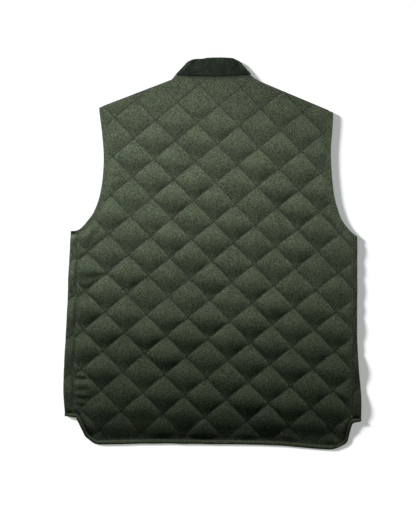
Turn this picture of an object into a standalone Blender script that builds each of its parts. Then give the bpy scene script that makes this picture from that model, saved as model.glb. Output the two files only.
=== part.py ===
"""Quilted wool gilet with a stand collar, lying flat and face down with its back uppermost.

The two fronts lie on the floor and fold round the sides to seams that show on the back. The back
lies on the fronts, and its longer tail drops to the floor past the front hem. One binding runs
round the whole hem, and one round each armhole.

Sizes are in millimetres, scaled to metres as each mesh is made. +Y runs towards the collar, +Z up,
and left is the left of the garment as it lies here, seen from above.
"""

import math
from collections import namedtuple

import bmesh
import bpy
import numpy as np

MM = 0.001

# Cloth walls and the clearances between pieces
SEAM_GAP = 0.3
WALL = 4.0
BACK_WALL = 2.7
CENTRE_FRONT_GAP = 1.0
COLLAR_SEAM_GAP = 0.45

# Levels of the two layers and of the folds that join them
UPPER_LEVEL = WALL + SEAM_GAP
FOLD_HEIGHT = WALL + SEAM_GAP / 2
FOLD_RADIUS = FOLD_HEIGHT - WALL / 2
FOLD_STEPS = 5

# The tail drops from the upper layer to the floor between these two distances
DROP_START = -322.0
DROP_END = -352.5
DROP_STEPS = 8

# Diamond quilting: one crossing of its lines and the way to the next crossings
QUILT_ORIGIN = np.array((-1.1, -13.5))
DIAMOND_ACROSS = np.array((79.4, -6.5))
DIAMOND_DOWN = np.array((-3.45, -74.1))
QUILT_DIAMONDS = 10

# How far the laid cloth has drawn the lines from an even lattice: amounts across and along the
# garment, each for the square of x, for x times y and for the square of y, counted in spans
BEND_SPAN = np.array((247.0, 323.0))
BEND_ACROSS = np.array((2.0, -1.2, 0.0))
BEND_ALONG = np.array((-3.6, 1.7, -1.1))

# Swell between the lines
QUILT_STATIONS = (0.0, 0.18, 0.5, 0.82)
QUILT_FULLNESS = 0.6
STRIP_SEAM_SHARE = 0.05
PUFF_AT_SHOULDER = 3.6
PUFF_AT_HEM = 6.2
HEM_FALL = (-288.0, -342.0)
HEM_SHARE = 0.34
LOW_RISE = 2.8
LOW_RISE_SPAN = (-40.0, -140.0, -270.0, -337.0)
LOW_RISE_FADE = 70.0
PUFF_ON_STRIP = 2.6
STRIP_SHIFT = {"left": (0.42, 0.15), "right": (0.2, 0.55)}
EDGE_TAPER = 9.0

# Bindings
ARMHOLE_BINDING = 6.0
ARMHOLE_PEEK = {"left": 1.6, "right": 0.5}
STRIP_BINDING = 6.5
NOTCH_BINDING = 8.8
TAIL_BINDING = 9.5

# Rounded section of a binding: shares of its width out from the seam and of its wall up or down
Corner = namedtuple("Corner", "reach height")
BINDING_SECTION = (
    Corner(0.0, -0.36),
    Corner(0.1, -0.5),
    Corner(0.72, -0.5),
    Corner(0.95, -0.3),
    Corner(1.0, 0.0),
    Corner(0.93, 0.32),
    Corner(0.7, 0.5),
    Corner(0.12, 0.5),
    Corner(0.0, 0.36),
)

# How finely curves and rows are divided
OUTLINE_STEP = 11.0
FINE_STEP = 1.0
STRIP_ROW_STEP = 8.0
STRIP_COLUMNS = 4
FOLD_COLUMNS = 6
FRONT_HEM_SECTIONS = 6
CORNER_CLEARANCE = 1.0
CUTTER_REACH = 60.0

# Points on the two halves of the outline, which differ a little as the garment was laid by hand
Pair = namedtuple("Pair", "left_x left_y right_x right_y")
SHOULDER = (
    Pair(-64.6, 338.4, 70.5, 338.4),
    Pair(-69.6, 338.0, 75.2, 338.2),
    Pair(-78.6, 329.6, 84.4, 330.4),
    Pair(-215.4, 277.6, 229.4, 268.9),
)
ARMHOLE = (
    Pair(-215.4, 277.6, 229.4, 268.9),
    Pair(-211.7, 245.0, 229.7, 245.0),
    Pair(-206.3, 199.5, 226.3, 199.5),
    Pair(-206.8, 153.9, 227.5, 153.9),
    Pair(-214.1, 108.3, 232.8, 108.3),
    Pair(-225.4, 77.9, 241.1, 77.9),
    Pair(-236.5, 62.7, 247.6, 62.7),
    Pair(-250.1, 47.6, 258.4, 47.5),
    Pair(-258.5, 43.4, 268.6, 36.8),
    Pair(-269.1, 41.2, 276.1, 31.8),
)
SIDE_EDGE = (
    Pair(-269.1, 41.2, 276.1, 31.8),
    Pair(-271.1, 2.0, 276.9, 2.0),
    Pair(-274.8, -59.0, 277.2, -59.0),
    Pair(-276.5, -120.0, 276.9, -120.0),
    Pair(-278.5, -150.0, 276.5, -150.0),
    Pair(-280.5, -181.0, 278.1, -181.0),
    Pair(-283.2, -226.0, 280.3, -220.0),
    Pair(-283.6, -257.0, 282.9, -257.0),
    Pair(-282.4, -287.0, 284.5, -290.0),
    Pair(-280.9, -306.0, 283.7, -318.0),
)
SIDE_SEAM = (
    Pair(-256.8, 60.0, 268.2, 60.0),
    Pair(-258.0, -60.0, 268.0, -79.0),
    Pair(-261.4, -164.0, 267.0, -164.0),
    Pair(-264.7, -240.0, 266.6, -240.0),
    Pair(-263.0, -330.0, 266.2, -330.0),
)

# Lower edge of the fronts at the two sides, straight between them
FRONT_HEM = Pair(-280.9, -303.0, 283.7, -313.6)

# Lower edge of the back, from the left notch round the tail to the right notch
Point = namedtuple("Point", "x y")
TAIL = (
    Point(-256.8, -303.8),
    Point(-252.6, -306.4),
    Point(-249.6, -310.6),
    Point(-244.7, -319.6),
    Point(-238.6, -333.0),
    Point(-233.6, -343.6),
    Point(-228.6, -350.0),
    Point(-221.5, -353.0),
    Point(-196.0, -353.3),
    Point(-104.0, -352.1),
    Point(0.0, -353.4),
    Point(113.0, -355.3),
    Point(175.0, -360.0),
    Point(215.0, -363.0),
    Point(227.0, -363.2),
    Point(240.4, -358.8),
    Point(247.0, -352.6),
    Point(251.4, -343.5),
    Point(254.4, -332.5),
    Point(257.6, -322.6),
    Point(260.4, -318.0),
    Point(264.2, -315.2),
)
NOTCH_RUN = 5.0

# Collar: its seam along the back neck, its upper edge, and the depth of the front neckline
NECK_SEAM_MIDDLE = Point(1.3, 336.6)
COLLAR_TOP = (
    Point(-37.6, 366.9),
    Point(-31.5, 369.3),
    Point(-17.0, 370.0),
    Point(-10.5, 371.5),
    Point(16.0, 372.3),
    Point(29.0, 371.8),
    Point(39.5, 370.6),
    Point(44.6, 366.8),
)
FRONT_NECK_DEPTH = 68.0
FRONT_COLLAR_DEPTH = 64.0
COLLAR_SECTIONS = 13
FRONT_COLLAR_SECTIONS = 6
COLLAR_EDGE_ROUND = 1.2

Finish = namedtuple("Finish", "colour roughness")
WOOL = Finish((0.055, 0.066, 0.043), 0.95)
BINDING_CLOTH = Finish((0.045, 0.055, 0.037), 0.95)
CORD = Finish((0.015, 0.021, 0.016), 0.9)


def half(table, side):
    """Points of one side of a table of pairs."""
    if side == "left":
        return np.array([(row.left_x, row.left_y) for row in table])
    return np.array([(row.right_x, row.right_y) for row in table])


def outward(side):
    """Sign of the direction across the garment that leaves it on this side."""
    return -1 if side == "left" else 1


def smooth_curve(points, step):
    """Points about a step apart on a smooth curve through the given points."""
    points = np.asarray(points, dtype=float)
    before = 2 * points[0] - points[1]
    after = 2 * points[-1] - points[-2]
    padded = np.vstack((before, points, after))
    curve = []
    for p0, p1, p2, p3 in zip(padded, padded[1:], padded[2:], padded[3:]):
        chord = np.linalg.norm(p2 - p1)
        start = (p2 - p0) * chord / (chord + np.linalg.norm(p1 - p0))
        end = (p3 - p1) * chord / (chord + np.linalg.norm(p3 - p2))
        count = max(2, round(chord / step))
        t = np.linspace(0, 1, count, endpoint=False)[:, None]
        curve.append((2 * t**3 - 3 * t**2 + 1) * p1 + (t**3 - 2 * t**2 + t) * start
                     + (3 * t**2 - 2 * t**3) * p2 + (t**3 - t**2) * end)
    return np.vstack(curve + [points[-1:]])


def curve_at(points, shares):
    """Points at shares of the length of a smooth curve through the given points."""
    curve = smooth_curve(points, FINE_STEP)
    lengths = np.concatenate(((0.0,), np.cumsum(np.linalg.norm(np.diff(curve, axis=0), axis=1))))
    places = np.asarray(shares) * lengths[-1]
    return np.column_stack([np.interp(places, lengths, column) for column in curve.T])


def smooth_step(value):
    """Ease from 0 to 1 as the value goes from 0 to 1."""
    value = np.clip(value, 0, 1)
    return value * value * (3 - 2 * value)


def directions(path):
    """Unit directions along a path of points."""
    along = np.gradient(path, axis=0)
    return along / np.linalg.norm(along, axis=1)[:, None]


def left_of(along):
    """Unit vectors in plan, a quarter turn to the left of the given directions."""
    return np.stack((-along[:, 1], along[:, 0]), axis=1)


def distance_to_outline(points, outline):
    """Distance in plan from each point to the closed outline."""
    nearest = np.full(len(points), np.inf)
    for start, end in zip(outline, np.roll(outline, -1, axis=0)):
        span = end - start
        share = np.clip((points - start) @ span / max(span @ span, 1e-9), 0, 1)
        gap = np.linalg.norm(points - start - share[:, None] * span, axis=1)
        nearest = np.minimum(nearest, gap)
    return nearest


def drop(y):
    """Height of the back's inside over the floor, at a distance along the garment."""
    return UPPER_LEVEL * smooth_step((np.asarray(y) - DROP_END) / (DROP_START - DROP_END))


def quilt_bend(places):
    """How far the laid cloth has drawn each place in plan from an even lattice."""
    x, y = np.moveaxis(places / BEND_SPAN, -1, 0)
    terms = np.stack((x * x, x * y, y * y), axis=-1)
    return np.stack((terms @ BEND_ACROSS, terms @ BEND_ALONG), axis=-1)


def quilt_place(across, down):
    """Place in plan of a point counted in quilting lines of the two directions."""
    rising = (DIAMOND_ACROSS - DIAMOND_DOWN) / 2
    falling = (DIAMOND_ACROSS + DIAMOND_DOWN) / 2
    even = QUILT_ORIGIN + across[..., None] * rising + down[..., None] * falling
    return even + quilt_bend(even)


def quilt_count(places):
    """Quilting lines of the two directions counted up to each place in plan."""
    rising = (DIAMOND_ACROSS - DIAMOND_DOWN) / 2
    falling = (DIAMOND_ACROSS + DIAMOND_DOWN) / 2
    even = places - quilt_bend(places - quilt_bend(places))
    counts = np.linalg.solve(np.stack((rising, falling), axis=1), (even - QUILT_ORIGIN).T)
    return counts[0], counts[1]


def pillow(across, down):
    """Share of the full quilting height, 0 on the stitch lines and 1 in a diamond's middle."""
    return np.abs(np.sin(np.pi * across) * np.sin(np.pi * down)) ** QUILT_FULLNESS


def back_puff(y):
    """Full quilting height of the back, lower at the taut shoulders and where it falls to the hem."""
    share = (np.asarray(y) - TAIL[0].y) / (SHOULDER[0].left_y - TAIL[0].y)
    puff = PUFF_AT_HEM + np.clip(share, 0, 1) * (PUFF_AT_SHOULDER - PUFF_AT_HEM)
    fall = smooth_step((HEM_FALL[0] - np.asarray(y)) / (HEM_FALL[0] - HEM_FALL[1]))
    return puff * (1 - (1 - HEM_SHARE) * fall)


def front_hem(x):
    """Lower edge of the fronts at a distance across the garment."""
    share = (np.asarray(x) - FRONT_HEM.left_x) / (FRONT_HEM.right_x - FRONT_HEM.left_x)
    return FRONT_HEM.left_y + share * (FRONT_HEM.right_y - FRONT_HEM.left_y)


def side_at(table, side, y):
    """Distance across the garment of a side's edge or seam, at distances along it."""
    curve = smooth_curve(half(table, side), STRIP_ROW_STEP)[::-1]
    return np.interp(y, curve[:, 1], curve[:, 0])


def armhole_edge(side, peek=0.0):
    """Edge of a panel round an armhole, from the shoulder down to the side, inside its binding."""
    curve = smooth_curve(half(ARMHOLE, side), OUTLINE_STEP)
    inward = left_of(directions(curve)) * -outward(side)
    share = np.linspace(0, 1, len(curve))
    out = peek * np.sin(np.pi * share) ** 2
    edge = curve + inward * (ARMHOLE_BINDING - out)[:, None]
    kink, tip = half(SHOULDER, side)[-2:]
    slope = (kink - tip) / np.linalg.norm(kink - tip)
    edge[0] = tip + slope * ARMHOLE_BINDING / abs(slope[0])
    return edge


def tail_edge():
    """Lower edge of the back, with a short run along the strips at both notches."""
    left = TAIL[0].x - NOTCH_RUN
    right = TAIL[-1].x + NOTCH_RUN
    ends = (Point(left, front_hem(left)), Point(right, front_hem(right)))
    return smooth_curve((ends[0],) + TAIL + (ends[1],), OUTLINE_STEP)


def neck_edge():
    """Edge of the back along the collar seam, from left to right."""
    left = half(SHOULDER, "left")[0]
    right = half(SHOULDER, "right")[0]
    return smooth_curve((left, NECK_SEAM_MIDDLE, right), OUTLINE_STEP)


def front_neck(side, turn):
    """Point of the front neckline at a turn from the neck point to the centre front."""
    neck = half(SHOULDER, side)[0]
    return np.array((neck[0] * math.cos(turn), neck[1] - FRONT_NECK_DEPTH * math.sin(turn)))


def back_outline():
    """Plan outline of the back, clockwise from the left neck point."""
    pieces = [neck_edge()]
    for side in ("right", "left"):
        seam_inset = -outward(side) * SEAM_GAP / 2
        armhole = armhole_edge(side)
        seam = side_at(SIDE_SEAM, side, armhole[:, 1])
        armhole = armhole[(seam - armhole[:, 0]) * outward(side) > 0]
        seam_rows = smooth_curve(half(SIDE_SEAM, side), OUTLINE_STEP)
        low = front_hem(seam_rows[-1, 0])
        below_armhole = seam_rows[:, 1] < armhole[-1, 1] - CORNER_CLEARANCE
        above_hem = seam_rows[:, 1] > low + CORNER_CLEARANCE
        seam_rows = seam_rows[below_armhole & above_hem]
        seam_foot = np.array(((side_at(SIDE_SEAM, side, low), low),))
        down = np.vstack((half(SHOULDER, side)[1:-1], armhole,
                          np.vstack((seam_rows, seam_foot)) + (seam_inset, 0)))
        if side == "right":
            pieces += [down, tail_edge()[::-1]]
        else:
            pieces.append(down[::-1])
    return np.vstack(pieces)


def front_outline(side):
    """Plan outline of a front, past its folded side, which its own rows shape."""
    sign = outward(side)
    centre = sign * CENTRE_FRONT_GAP / 2
    turns = np.linspace(0, math.pi / 2, FRONT_COLLAR_SECTIONS * 2)
    neckline = np.array([front_neck(side, turn) for turn in turns])
    neckline[-1, 0] = centre
    armhole = armhole_edge(side, ARMHOLE_PEEK[side])
    beyond = armhole[-1, 0] + sign * CUTTER_REACH
    past_side = np.array(((beyond, armhole[-1, 1]), (beyond, front_hem(beyond))))
    corner = np.array(((centre, front_hem(centre)),))
    return np.vstack((neckline[::-1], half(SHOULDER, side)[1:-1], armhole, past_side, corner))


def add_finish(name, finish):
    """Material of one piece."""
    material = bpy.data.materials.new(name + "_finish")
    material.use_nodes = True
    shader = material.node_tree.nodes["Principled BSDF"]
    shader.inputs["Base Color"].default_value = (*finish.colour, 1.0)
    shader.inputs["Roughness"].default_value = finish.roughness
    shader.inputs["Metallic"].default_value = 0.0
    return material


def add_mesh(name, points, faces, finish=None):
    """Object of closed faces, turned to point out; one without a finish is a cutter."""
    mesh = bpy.data.meshes.new(name)
    mesh.from_pydata((np.asarray(points) * MM).tolist(), [], faces)
    shape = bmesh.new()
    shape.from_mesh(mesh)
    bmesh.ops.recalc_face_normals(shape, faces=shape.faces)
    shape.to_mesh(mesh)
    shape.free()
    piece = bpy.data.objects.new(name, mesh)
    bpy.context.scene.collection.objects.link(piece)
    if finish is None:
        piece.hide_render = True
        piece.display_type = 'WIRE'
    else:
        mesh.materials.append(add_finish(name, finish))
        mesh.shade_smooth()
    return piece


def add_prism(name, outline, low, high):
    """Cutter that stands on an outline in plan."""
    count = len(outline)
    points = np.vstack((np.column_stack((outline, np.full(count, low))),
                        np.column_stack((outline, np.full(count, high)))))
    faces = [tuple(range(count)), tuple(range(count, 2 * count))]
    for i in range(count):
        j = (i + 1) % count
        faces.append((i, j, count + j, count + i))
    return add_mesh(name, points, faces)


def add_loft(name, sections, finish, ring=False):
    """Solid through closed sections of equal point counts, capped unless it is a ring."""
    sections = np.asarray(sections)
    rows, count = sections.shape[:2]
    faces = []
    for row in range(rows if ring else rows - 1):
        here = row * count
        there = (row + 1) % rows * count
        for i in range(count):
            j = (i + 1) % count
            faces.append((here + i, here + j, there + j, there + i))
    if not ring:
        faces.append(tuple(range(count)))
        faces.append(tuple(range((rows - 1) * count, rows * count)))
    return add_mesh(name, sections.reshape(-1, 3), faces, finish)


def keep_inside(piece, cutter):
    """Cut a piece to what lies inside a cutter."""
    cut = piece.modifiers.new(cutter.name, 'BOOLEAN')
    cut.operation = 'INTERSECT'
    cut.solver = 'EXACT'
    cut.object = cutter


def low_rise(places):
    """Height of the broad rise of the full cloth low on the back, away from the side seams."""
    x, y = places.T
    start, full, turn, end = LOW_RISE_SPAN
    up = smooth_step((start - y) / (start - full))
    down = smooth_step((turn - y) / (turn - end))
    inside = np.minimum(x - side_at(SIDE_SEAM, "left", y), side_at(SIDE_SEAM, "right", y) - x)
    return LOW_RISE * up * (1 - down) * smooth_step(inside / LOW_RISE_FADE)


def build_back():
    """Back: a quilted sheet cut to its outline, plain inside and dropped at the tail."""
    outline = back_outline()
    whole = range(-QUILT_DIAMONDS, QUILT_DIAMONDS)
    lines = np.array([line + part for line in whole for part in QUILT_STATIONS] + [QUILT_DIAMONDS])
    count = len(lines)
    across, down = np.meshgrid(lines, lines, indexing="ij")
    places = quilt_place(across, down).reshape(-1, 2)
    flat = smooth_step(distance_to_outline(places, outline) / EDGE_TAPER)
    rise = pillow(across, down).ravel() * back_puff(places[:, 1]) * flat + low_rise(places)
    top = np.column_stack((places, drop(places[:, 1]) + BACK_WALL + rise))
    base_corners = [0, count - 1, count * count - 1, count * (count - 1)]
    base = np.column_stack((places[base_corners], np.full(4, -CUTTER_REACH)))
    faces = []
    for i in range(count - 1):
        for j in range(count - 1):
            corner = i * count + j
            faces.append((corner, corner + 1, corner + count + 1, corner + count))
    first = count * count
    edges = (
        list(range(count)),
        list(range(count - 1, first, count)),
        list(range(first - 1, first - count - 1, -1)),
        list(range(first - count, -1, -count)),
    )
    for side, edge in enumerate(edges):
        faces.append(tuple(edge) + (first + (side + 1) % 4, first + side))
    faces.append(tuple(range(first, first + 4)))
    back = add_mesh("back", np.vstack((top, base)), faces, WOOL)

    keep_inside(back, add_prism("back_outline", outline, -CUTTER_REACH / 2, CUTTER_REACH))
    y = np.linspace(DROP_START, DROP_END, DROP_STEPS)
    profile = [(SHOULDER[0].left_y + CUTTER_REACH, UPPER_LEVEL)]
    profile += list(zip(y, drop(y)))
    profile += [(DROP_END - CUTTER_REACH, 0.0), (DROP_END - CUTTER_REACH, CUTTER_REACH),
                (SHOULDER[0].left_y + CUTTER_REACH, CUTTER_REACH)]
    reach = FRONT_HEM.right_x + CUTTER_REACH
    sections = [[(x, place, height) for place, height in profile] for x in (-reach, reach)]
    keep_inside(back, add_loft("back_inside", sections, None))


def build_front(side):
    """Front: flat on the floor, folded round the side to a quilted strip on the back."""
    sign = outward(side)
    low = FRONT_HEM.right_y - CUTTER_REACH / 4
    high = half(ARMHOLE, side)[-1, 1] + CUTTER_REACH / 4
    rows = np.arange(low, high, STRIP_ROW_STEP)
    rows = np.append(rows, SHOULDER[0].right_y + CUTTER_REACH)
    edge = side_at(SIDE_EDGE, side, rows)
    seam = side_at(SIDE_SEAM, side, rows) + sign * SEAM_GAP / 2
    centre = np.full(len(rows), -sign * CUTTER_REACH / 2)
    fold = edge - sign * FOLD_HEIGHT

    def at(x, height):
        return np.column_stack((x, rows, np.broadcast_to(height, len(rows))))

    def strip_top(x):
        across, down = quilt_count(np.column_stack((x, rows)))
        shift = STRIP_SHIFT[side]
        flat = smooth_step(np.abs(x - seam) / EDGE_TAPER + STRIP_SEAM_SHARE)
        puff = PUFF_ON_STRIP * flat * pillow(across + shift[0], down + shift[1])
        return UPPER_LEVEL + BACK_WALL + puff

    columns = [at(centre, 0.0)]
    crown = strip_top(fold)
    for angle in np.linspace(-math.pi / 2, math.pi / 2, FOLD_COLUMNS, endpoint=False):
        out = fold + sign * FOLD_HEIGHT * math.cos(angle)
        columns.append(at(out, crown / 2 * (1 + math.sin(angle))))
    for share in np.linspace(0, 1, STRIP_COLUMNS):
        x = fold + share * (seam - fold)
        columns.append(at(x, strip_top(x)))
    columns.append(at(seam, UPPER_LEVEL))
    columns.append(at(fold, UPPER_LEVEL))
    columns.append(at(fold + sign * SEAM_GAP / 2, FOLD_HEIGHT))
    columns.append(at(fold, WALL))
    columns.append(at(centre, WALL))
    front = add_loft("front_" + side, np.stack(columns, axis=1), WOOL)
    outline = front_outline(side)
    keep_inside(front, add_prism("front_outline_" + side, outline, -CUTTER_REACH, CUTTER_REACH))


def binding_sections(edge, out, over, width):
    """Rounded sections of a binding that carries a panel's edge on outwards.

    Each section starts a seam gap from its edge point, which lies at half the wall's height.
    """
    lines = []
    for corner in BINDING_SECTION:
        reach = SEAM_GAP + corner.reach * (width - SEAM_GAP)
        lines.append(edge + out * reach[:, None] + over * WALL * corner.height)
    return np.stack(lines, axis=1)


def lay(plan, heights):
    """Points in plan set at heights."""
    return np.column_stack((plan, np.broadcast_to(heights, len(plan))))


def fold_over(centre, along, out, start_angle, end_angle):
    """Edge points, outward and over vectors of a binding that folds between the two layers."""
    angles = np.linspace(start_angle, end_angle, FOLD_STEPS + 2)[1:-1]
    over = np.outer(np.cos(angles), (0, 0, 1)) + np.outer(np.sin(angles), (*along, 0))
    edge = np.array((*centre, FOLD_HEIGHT)) + over * FOLD_RADIUS
    return edge, np.tile((*out, 0), (FOLD_STEPS, 1)), over


def flat_run(plan, out, heights, up):
    """Edge points, outward and over vectors of a binding that lies flat."""
    return lay(plan, heights), lay(out, 0.0), np.tile((0, 0, up), (len(plan), 1))


def build_armhole_binding(side):
    """Armhole binding: one ring, along the back's edge, over the shoulder and under the arm."""
    turn = outward(side)
    upper = armhole_edge(side)
    lower = armhole_edge(side, ARMHOLE_PEEK[side])
    ends = directions(upper)
    upper[0] += ends[0] * FOLD_HEIGHT
    lower[0] = upper[0]
    upper[-1] -= ends[-1] * FOLD_HEIGHT
    lower[-1] = upper[-1]
    upper_out = left_of(directions(upper)) * turn
    lower_out = left_of(directions(lower)) * turn
    kink, tip = half(SHOULDER, side)[-2:]
    upper_out[0] = lower_out[0] = (tip - kink) / np.dot(tip - kink, upper_out[0])
    down = flat_run(upper, upper_out, UPPER_LEVEL + WALL / 2, 1)
    under = fold_over(upper[-1], directions(upper)[-1], upper_out[-1], 0, math.pi)
    back_up = flat_run(lower[::-1], lower_out[::-1], WALL / 2, -1)
    over = fold_over(upper[0], -directions(upper)[0], upper_out[0], math.pi, 0)
    edge, out, normal = (np.vstack(parts) for parts in zip(down, under, back_up, over))
    width = np.full(len(edge), ARMHOLE_BINDING)
    sections = binding_sections(edge, out, normal, width)
    add_loft("armhole_binding_" + side, sections, BINDING_CLOTH, ring=True)


def front_hem_run(side):
    """The hem binding under one front, from the centre front out to its side fold."""
    sign = outward(side)
    fold = side_at(SIDE_EDGE, side, front_hem(sign * FRONT_HEM.right_x)) - sign * FOLD_HEIGHT
    x = np.linspace(sign * CENTRE_FRONT_GAP / 2, fold, FRONT_HEM_SECTIONS)
    plan = np.column_stack((x, front_hem(x)))
    down = np.tile((0.0, -1.0), (len(x), 1))
    lower = flat_run(plan, down, WALL / 2, -1)
    folded = fold_over(plan[-1], (sign, 0), (0, -1), math.pi, 0)
    strip = flat_run(plan[-1:], down[:1], UPPER_LEVEL + WALL / 2, 1)
    return [np.vstack(parts) for parts in zip(lower, folded, strip)]


def build_hem_binding():
    """Hem binding: one strip from the centre front, round a side and the tail, to the centre front."""
    tail = tail_edge()
    tail_out = -left_of(directions(tail))
    tail_out[0] = tail_out[-1] = (0, -1)
    back = flat_run(tail, tail_out, drop(tail[:, 1]) + WALL / 2, 1)
    left = front_hem_run("left")
    right = [part[::-1] for part in front_hem_run("right")]
    edge, out, over = (np.vstack(parts) for parts in zip(left, back, right))
    past_notch = smooth_step((front_hem(tail[:, 0]) - tail[:, 1]) / (2 * TAIL_BINDING))
    width = np.concatenate((np.full(len(left[0]), STRIP_BINDING),
                            NOTCH_BINDING + past_notch * (TAIL_BINDING - NOTCH_BINDING),
                            np.full(len(right[0]), STRIP_BINDING)))
    add_loft("hem_binding", binding_sections(edge, out, over, width), BINDING_CLOTH)


def collar_section(base, top, over, height):
    """One section of the collar's wall, from its seam up to its upper edge."""
    rise = np.array((*(top - base), 0.0))
    length = np.linalg.norm(rise)
    rise /= length
    low = COLLAR_SEAM_GAP
    half_wall = WALL / 2
    side = half_wall - COLLAR_EDGE_ROUND
    profile = ((low, -side), (low + COLLAR_EDGE_ROUND, -half_wall),
               (length - COLLAR_EDGE_ROUND, -half_wall), (length, -side),
               (length, side), (length - COLLAR_EDGE_ROUND, half_wall),
               (low + COLLAR_EDGE_ROUND, half_wall), (low, side))
    origin = np.array((*base, height))
    return [origin + rise * along + over * through for along, through in profile]


def build_collar():
    """Collar: one band, its back on the upper layer, folded at the neck points to the fronts."""
    up = np.array((0.0, 0.0, 1.0))
    shares = np.linspace(0, 1, COLLAR_SECTIONS)
    base = curve_at((half(SHOULDER, "left")[0], NECK_SEAM_MIDDLE, half(SHOULDER, "right")[0]), shares)
    top = curve_at(COLLAR_TOP, shares)
    back = [collar_section(low, high, up, UPPER_LEVEL + WALL / 2) for low, high in zip(base, top)]

    def front_half(side, top_corner):
        neck = half(SHOULDER, side)[0]
        rise = np.array((*(top_corner - neck), 0.0))
        rise /= np.linalg.norm(rise)
        out = np.array((-rise[1], rise[0], 0.0)) * -outward(side)
        lean = rise * rise[0] / out[0]
        sections = []
        for angle in np.linspace(0, math.pi, FOLD_STEPS + 2)[1:-1]:
            over = up * math.cos(angle) + out * math.sin(angle)
            folded = np.asarray(collar_section(neck, top_corner, over, FOLD_HEIGHT)) + over * FOLD_RADIUS
            past_fold = (folded - (*neck, 0.0)) @ out
            sections.append(folded + np.outer(past_fold, lean))
        for turn in np.linspace(0, math.pi / 2, FRONT_COLLAR_SECTIONS):
            low = front_neck(side, turn)
            high = np.array((top_corner[0] * math.cos(turn),
                             top_corner[1] - FRONT_COLLAR_DEPTH * math.sin(turn)))
            clear = np.array((outward(side) * CENTRE_FRONT_GAP / 2 * math.sin(turn), 0.0))
            sections.append(collar_section(low + clear, high + clear, -up, WALL / 2))
        return sections

    left = front_half("left", np.array(COLLAR_TOP[0]))
    right = front_half("right", np.array(COLLAR_TOP[-1]))
    add_loft("collar", left[::-1] + back + right, CORD)


def centre_on_floor():
    """Move the whole gilet so that its box stands on the floor, centred on the origin."""
    bpy.context.view_layer.update()
    graph = bpy.context.evaluated_depsgraph_get()
    pieces = [piece for piece in bpy.data.objects if not piece.hide_render]
    corners = []
    for piece in pieces:
        shape = piece.evaluated_get(graph).to_mesh()
        points = np.empty(len(shape.vertices) * 3)
        shape.vertices.foreach_get("co", points)
        points = points.reshape(-1, 3)
        corners += [points.min(axis=0), points.max(axis=0)]
    low = np.min(corners, axis=0)
    high = np.max(corners, axis=0)
    shift = np.array((-(low[0] + high[0]) / 2, -(low[1] + high[1]) / 2, -low[2]))
    for item in bpy.data.objects:
        item.location = shift


def main():
    """Clear the scene and make the gilet piece by piece."""
    for item in list(bpy.data.objects):
        bpy.data.objects.remove(item)
    build_back()
    for side in ("left", "right"):
        build_front(side)
        build_armhole_binding(side)
    build_hem_binding()
    build_collar()
    centre_on_floor()


main()
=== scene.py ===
"""Looks of a quilted wool gilet that lies flat and face down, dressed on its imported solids.

The cloth is worked out in millimetres in plan, +Y towards the collar and +Z up out of the back,
and scaled to metres as each mesh is made. Lights and the camera are placed in metres.
"""

import logging
import math
from dataclasses import dataclass, field
from enum import Enum

import bpy
import numpy as np
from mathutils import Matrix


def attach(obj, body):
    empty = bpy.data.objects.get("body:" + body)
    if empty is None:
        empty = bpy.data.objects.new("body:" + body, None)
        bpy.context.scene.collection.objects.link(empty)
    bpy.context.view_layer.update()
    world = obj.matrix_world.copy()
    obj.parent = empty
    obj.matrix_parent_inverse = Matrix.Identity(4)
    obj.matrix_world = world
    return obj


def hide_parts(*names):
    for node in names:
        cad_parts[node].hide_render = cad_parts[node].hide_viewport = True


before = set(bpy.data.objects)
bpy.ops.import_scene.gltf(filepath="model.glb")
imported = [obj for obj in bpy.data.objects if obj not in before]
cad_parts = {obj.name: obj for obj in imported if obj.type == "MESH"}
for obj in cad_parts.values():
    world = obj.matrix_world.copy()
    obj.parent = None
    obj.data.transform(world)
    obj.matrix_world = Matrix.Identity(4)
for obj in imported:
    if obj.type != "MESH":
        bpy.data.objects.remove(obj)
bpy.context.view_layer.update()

LOG = logging.getLogger("gilet")
MM = 0.001
TINY = 1e-9
QUARTER_TURN = math.pi / 2
SHARP_TURN = math.radians(65)
# Shift in millimetres that brings the pattern to the middle of the solids' box.
LAID_SHIFT = (-0.408, 0.317, 0.0)
BODY = "root"
UP = np.array((0.0, 0.0, 1.0))
TO_HEM = (0.0, -1.0)
NOISE_CELLS = 256

Array = np.ndarray
Pair = tuple[float, float]
Triple = tuple[float, float, float]
Line = tuple[Pair, ...]
Faces = list[tuple[int, ...]]
MeshData = tuple[Array, Faces]
Socket = bpy.types.NodeSocket


class Side(Enum):
    """The garment's sides as it lies, each with the sign of its way out along X."""

    LEFT = -1
    RIGHT = 1


class Slot(Enum):
    """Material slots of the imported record."""

    WOOL = "wool"
    BINDING = "binding"
    CORD = "cord"


class LampKind(Enum):
    """Kinds of light in the studio."""

    PANEL = 'AREA'
    SUN = 'SUN'


def smooth_step(value: Array) -> Array:
    """Ease numbers, clipped to the range 0 to 1, smoothly from 0 to 1."""
    value = np.clip(value, 0.0, 1.0)
    return value * value * (3 - 2 * value)


def round_over(near: Array) -> Array:
    """Give the height of a quarter round at shares of the way in from its edge."""
    return np.sqrt(1 - (1 - near) ** 2)


def rising_from(least: float, share: Array) -> Array:
    """Blend from a least value, where the share is 0, up to 1."""
    return least + (1 - least) * share


def unit(vectors: Array) -> Array:
    """Scale vectors to a length of 1."""
    return vectors / np.linalg.norm(vectors, axis=-1, keepdims=True)


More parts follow.
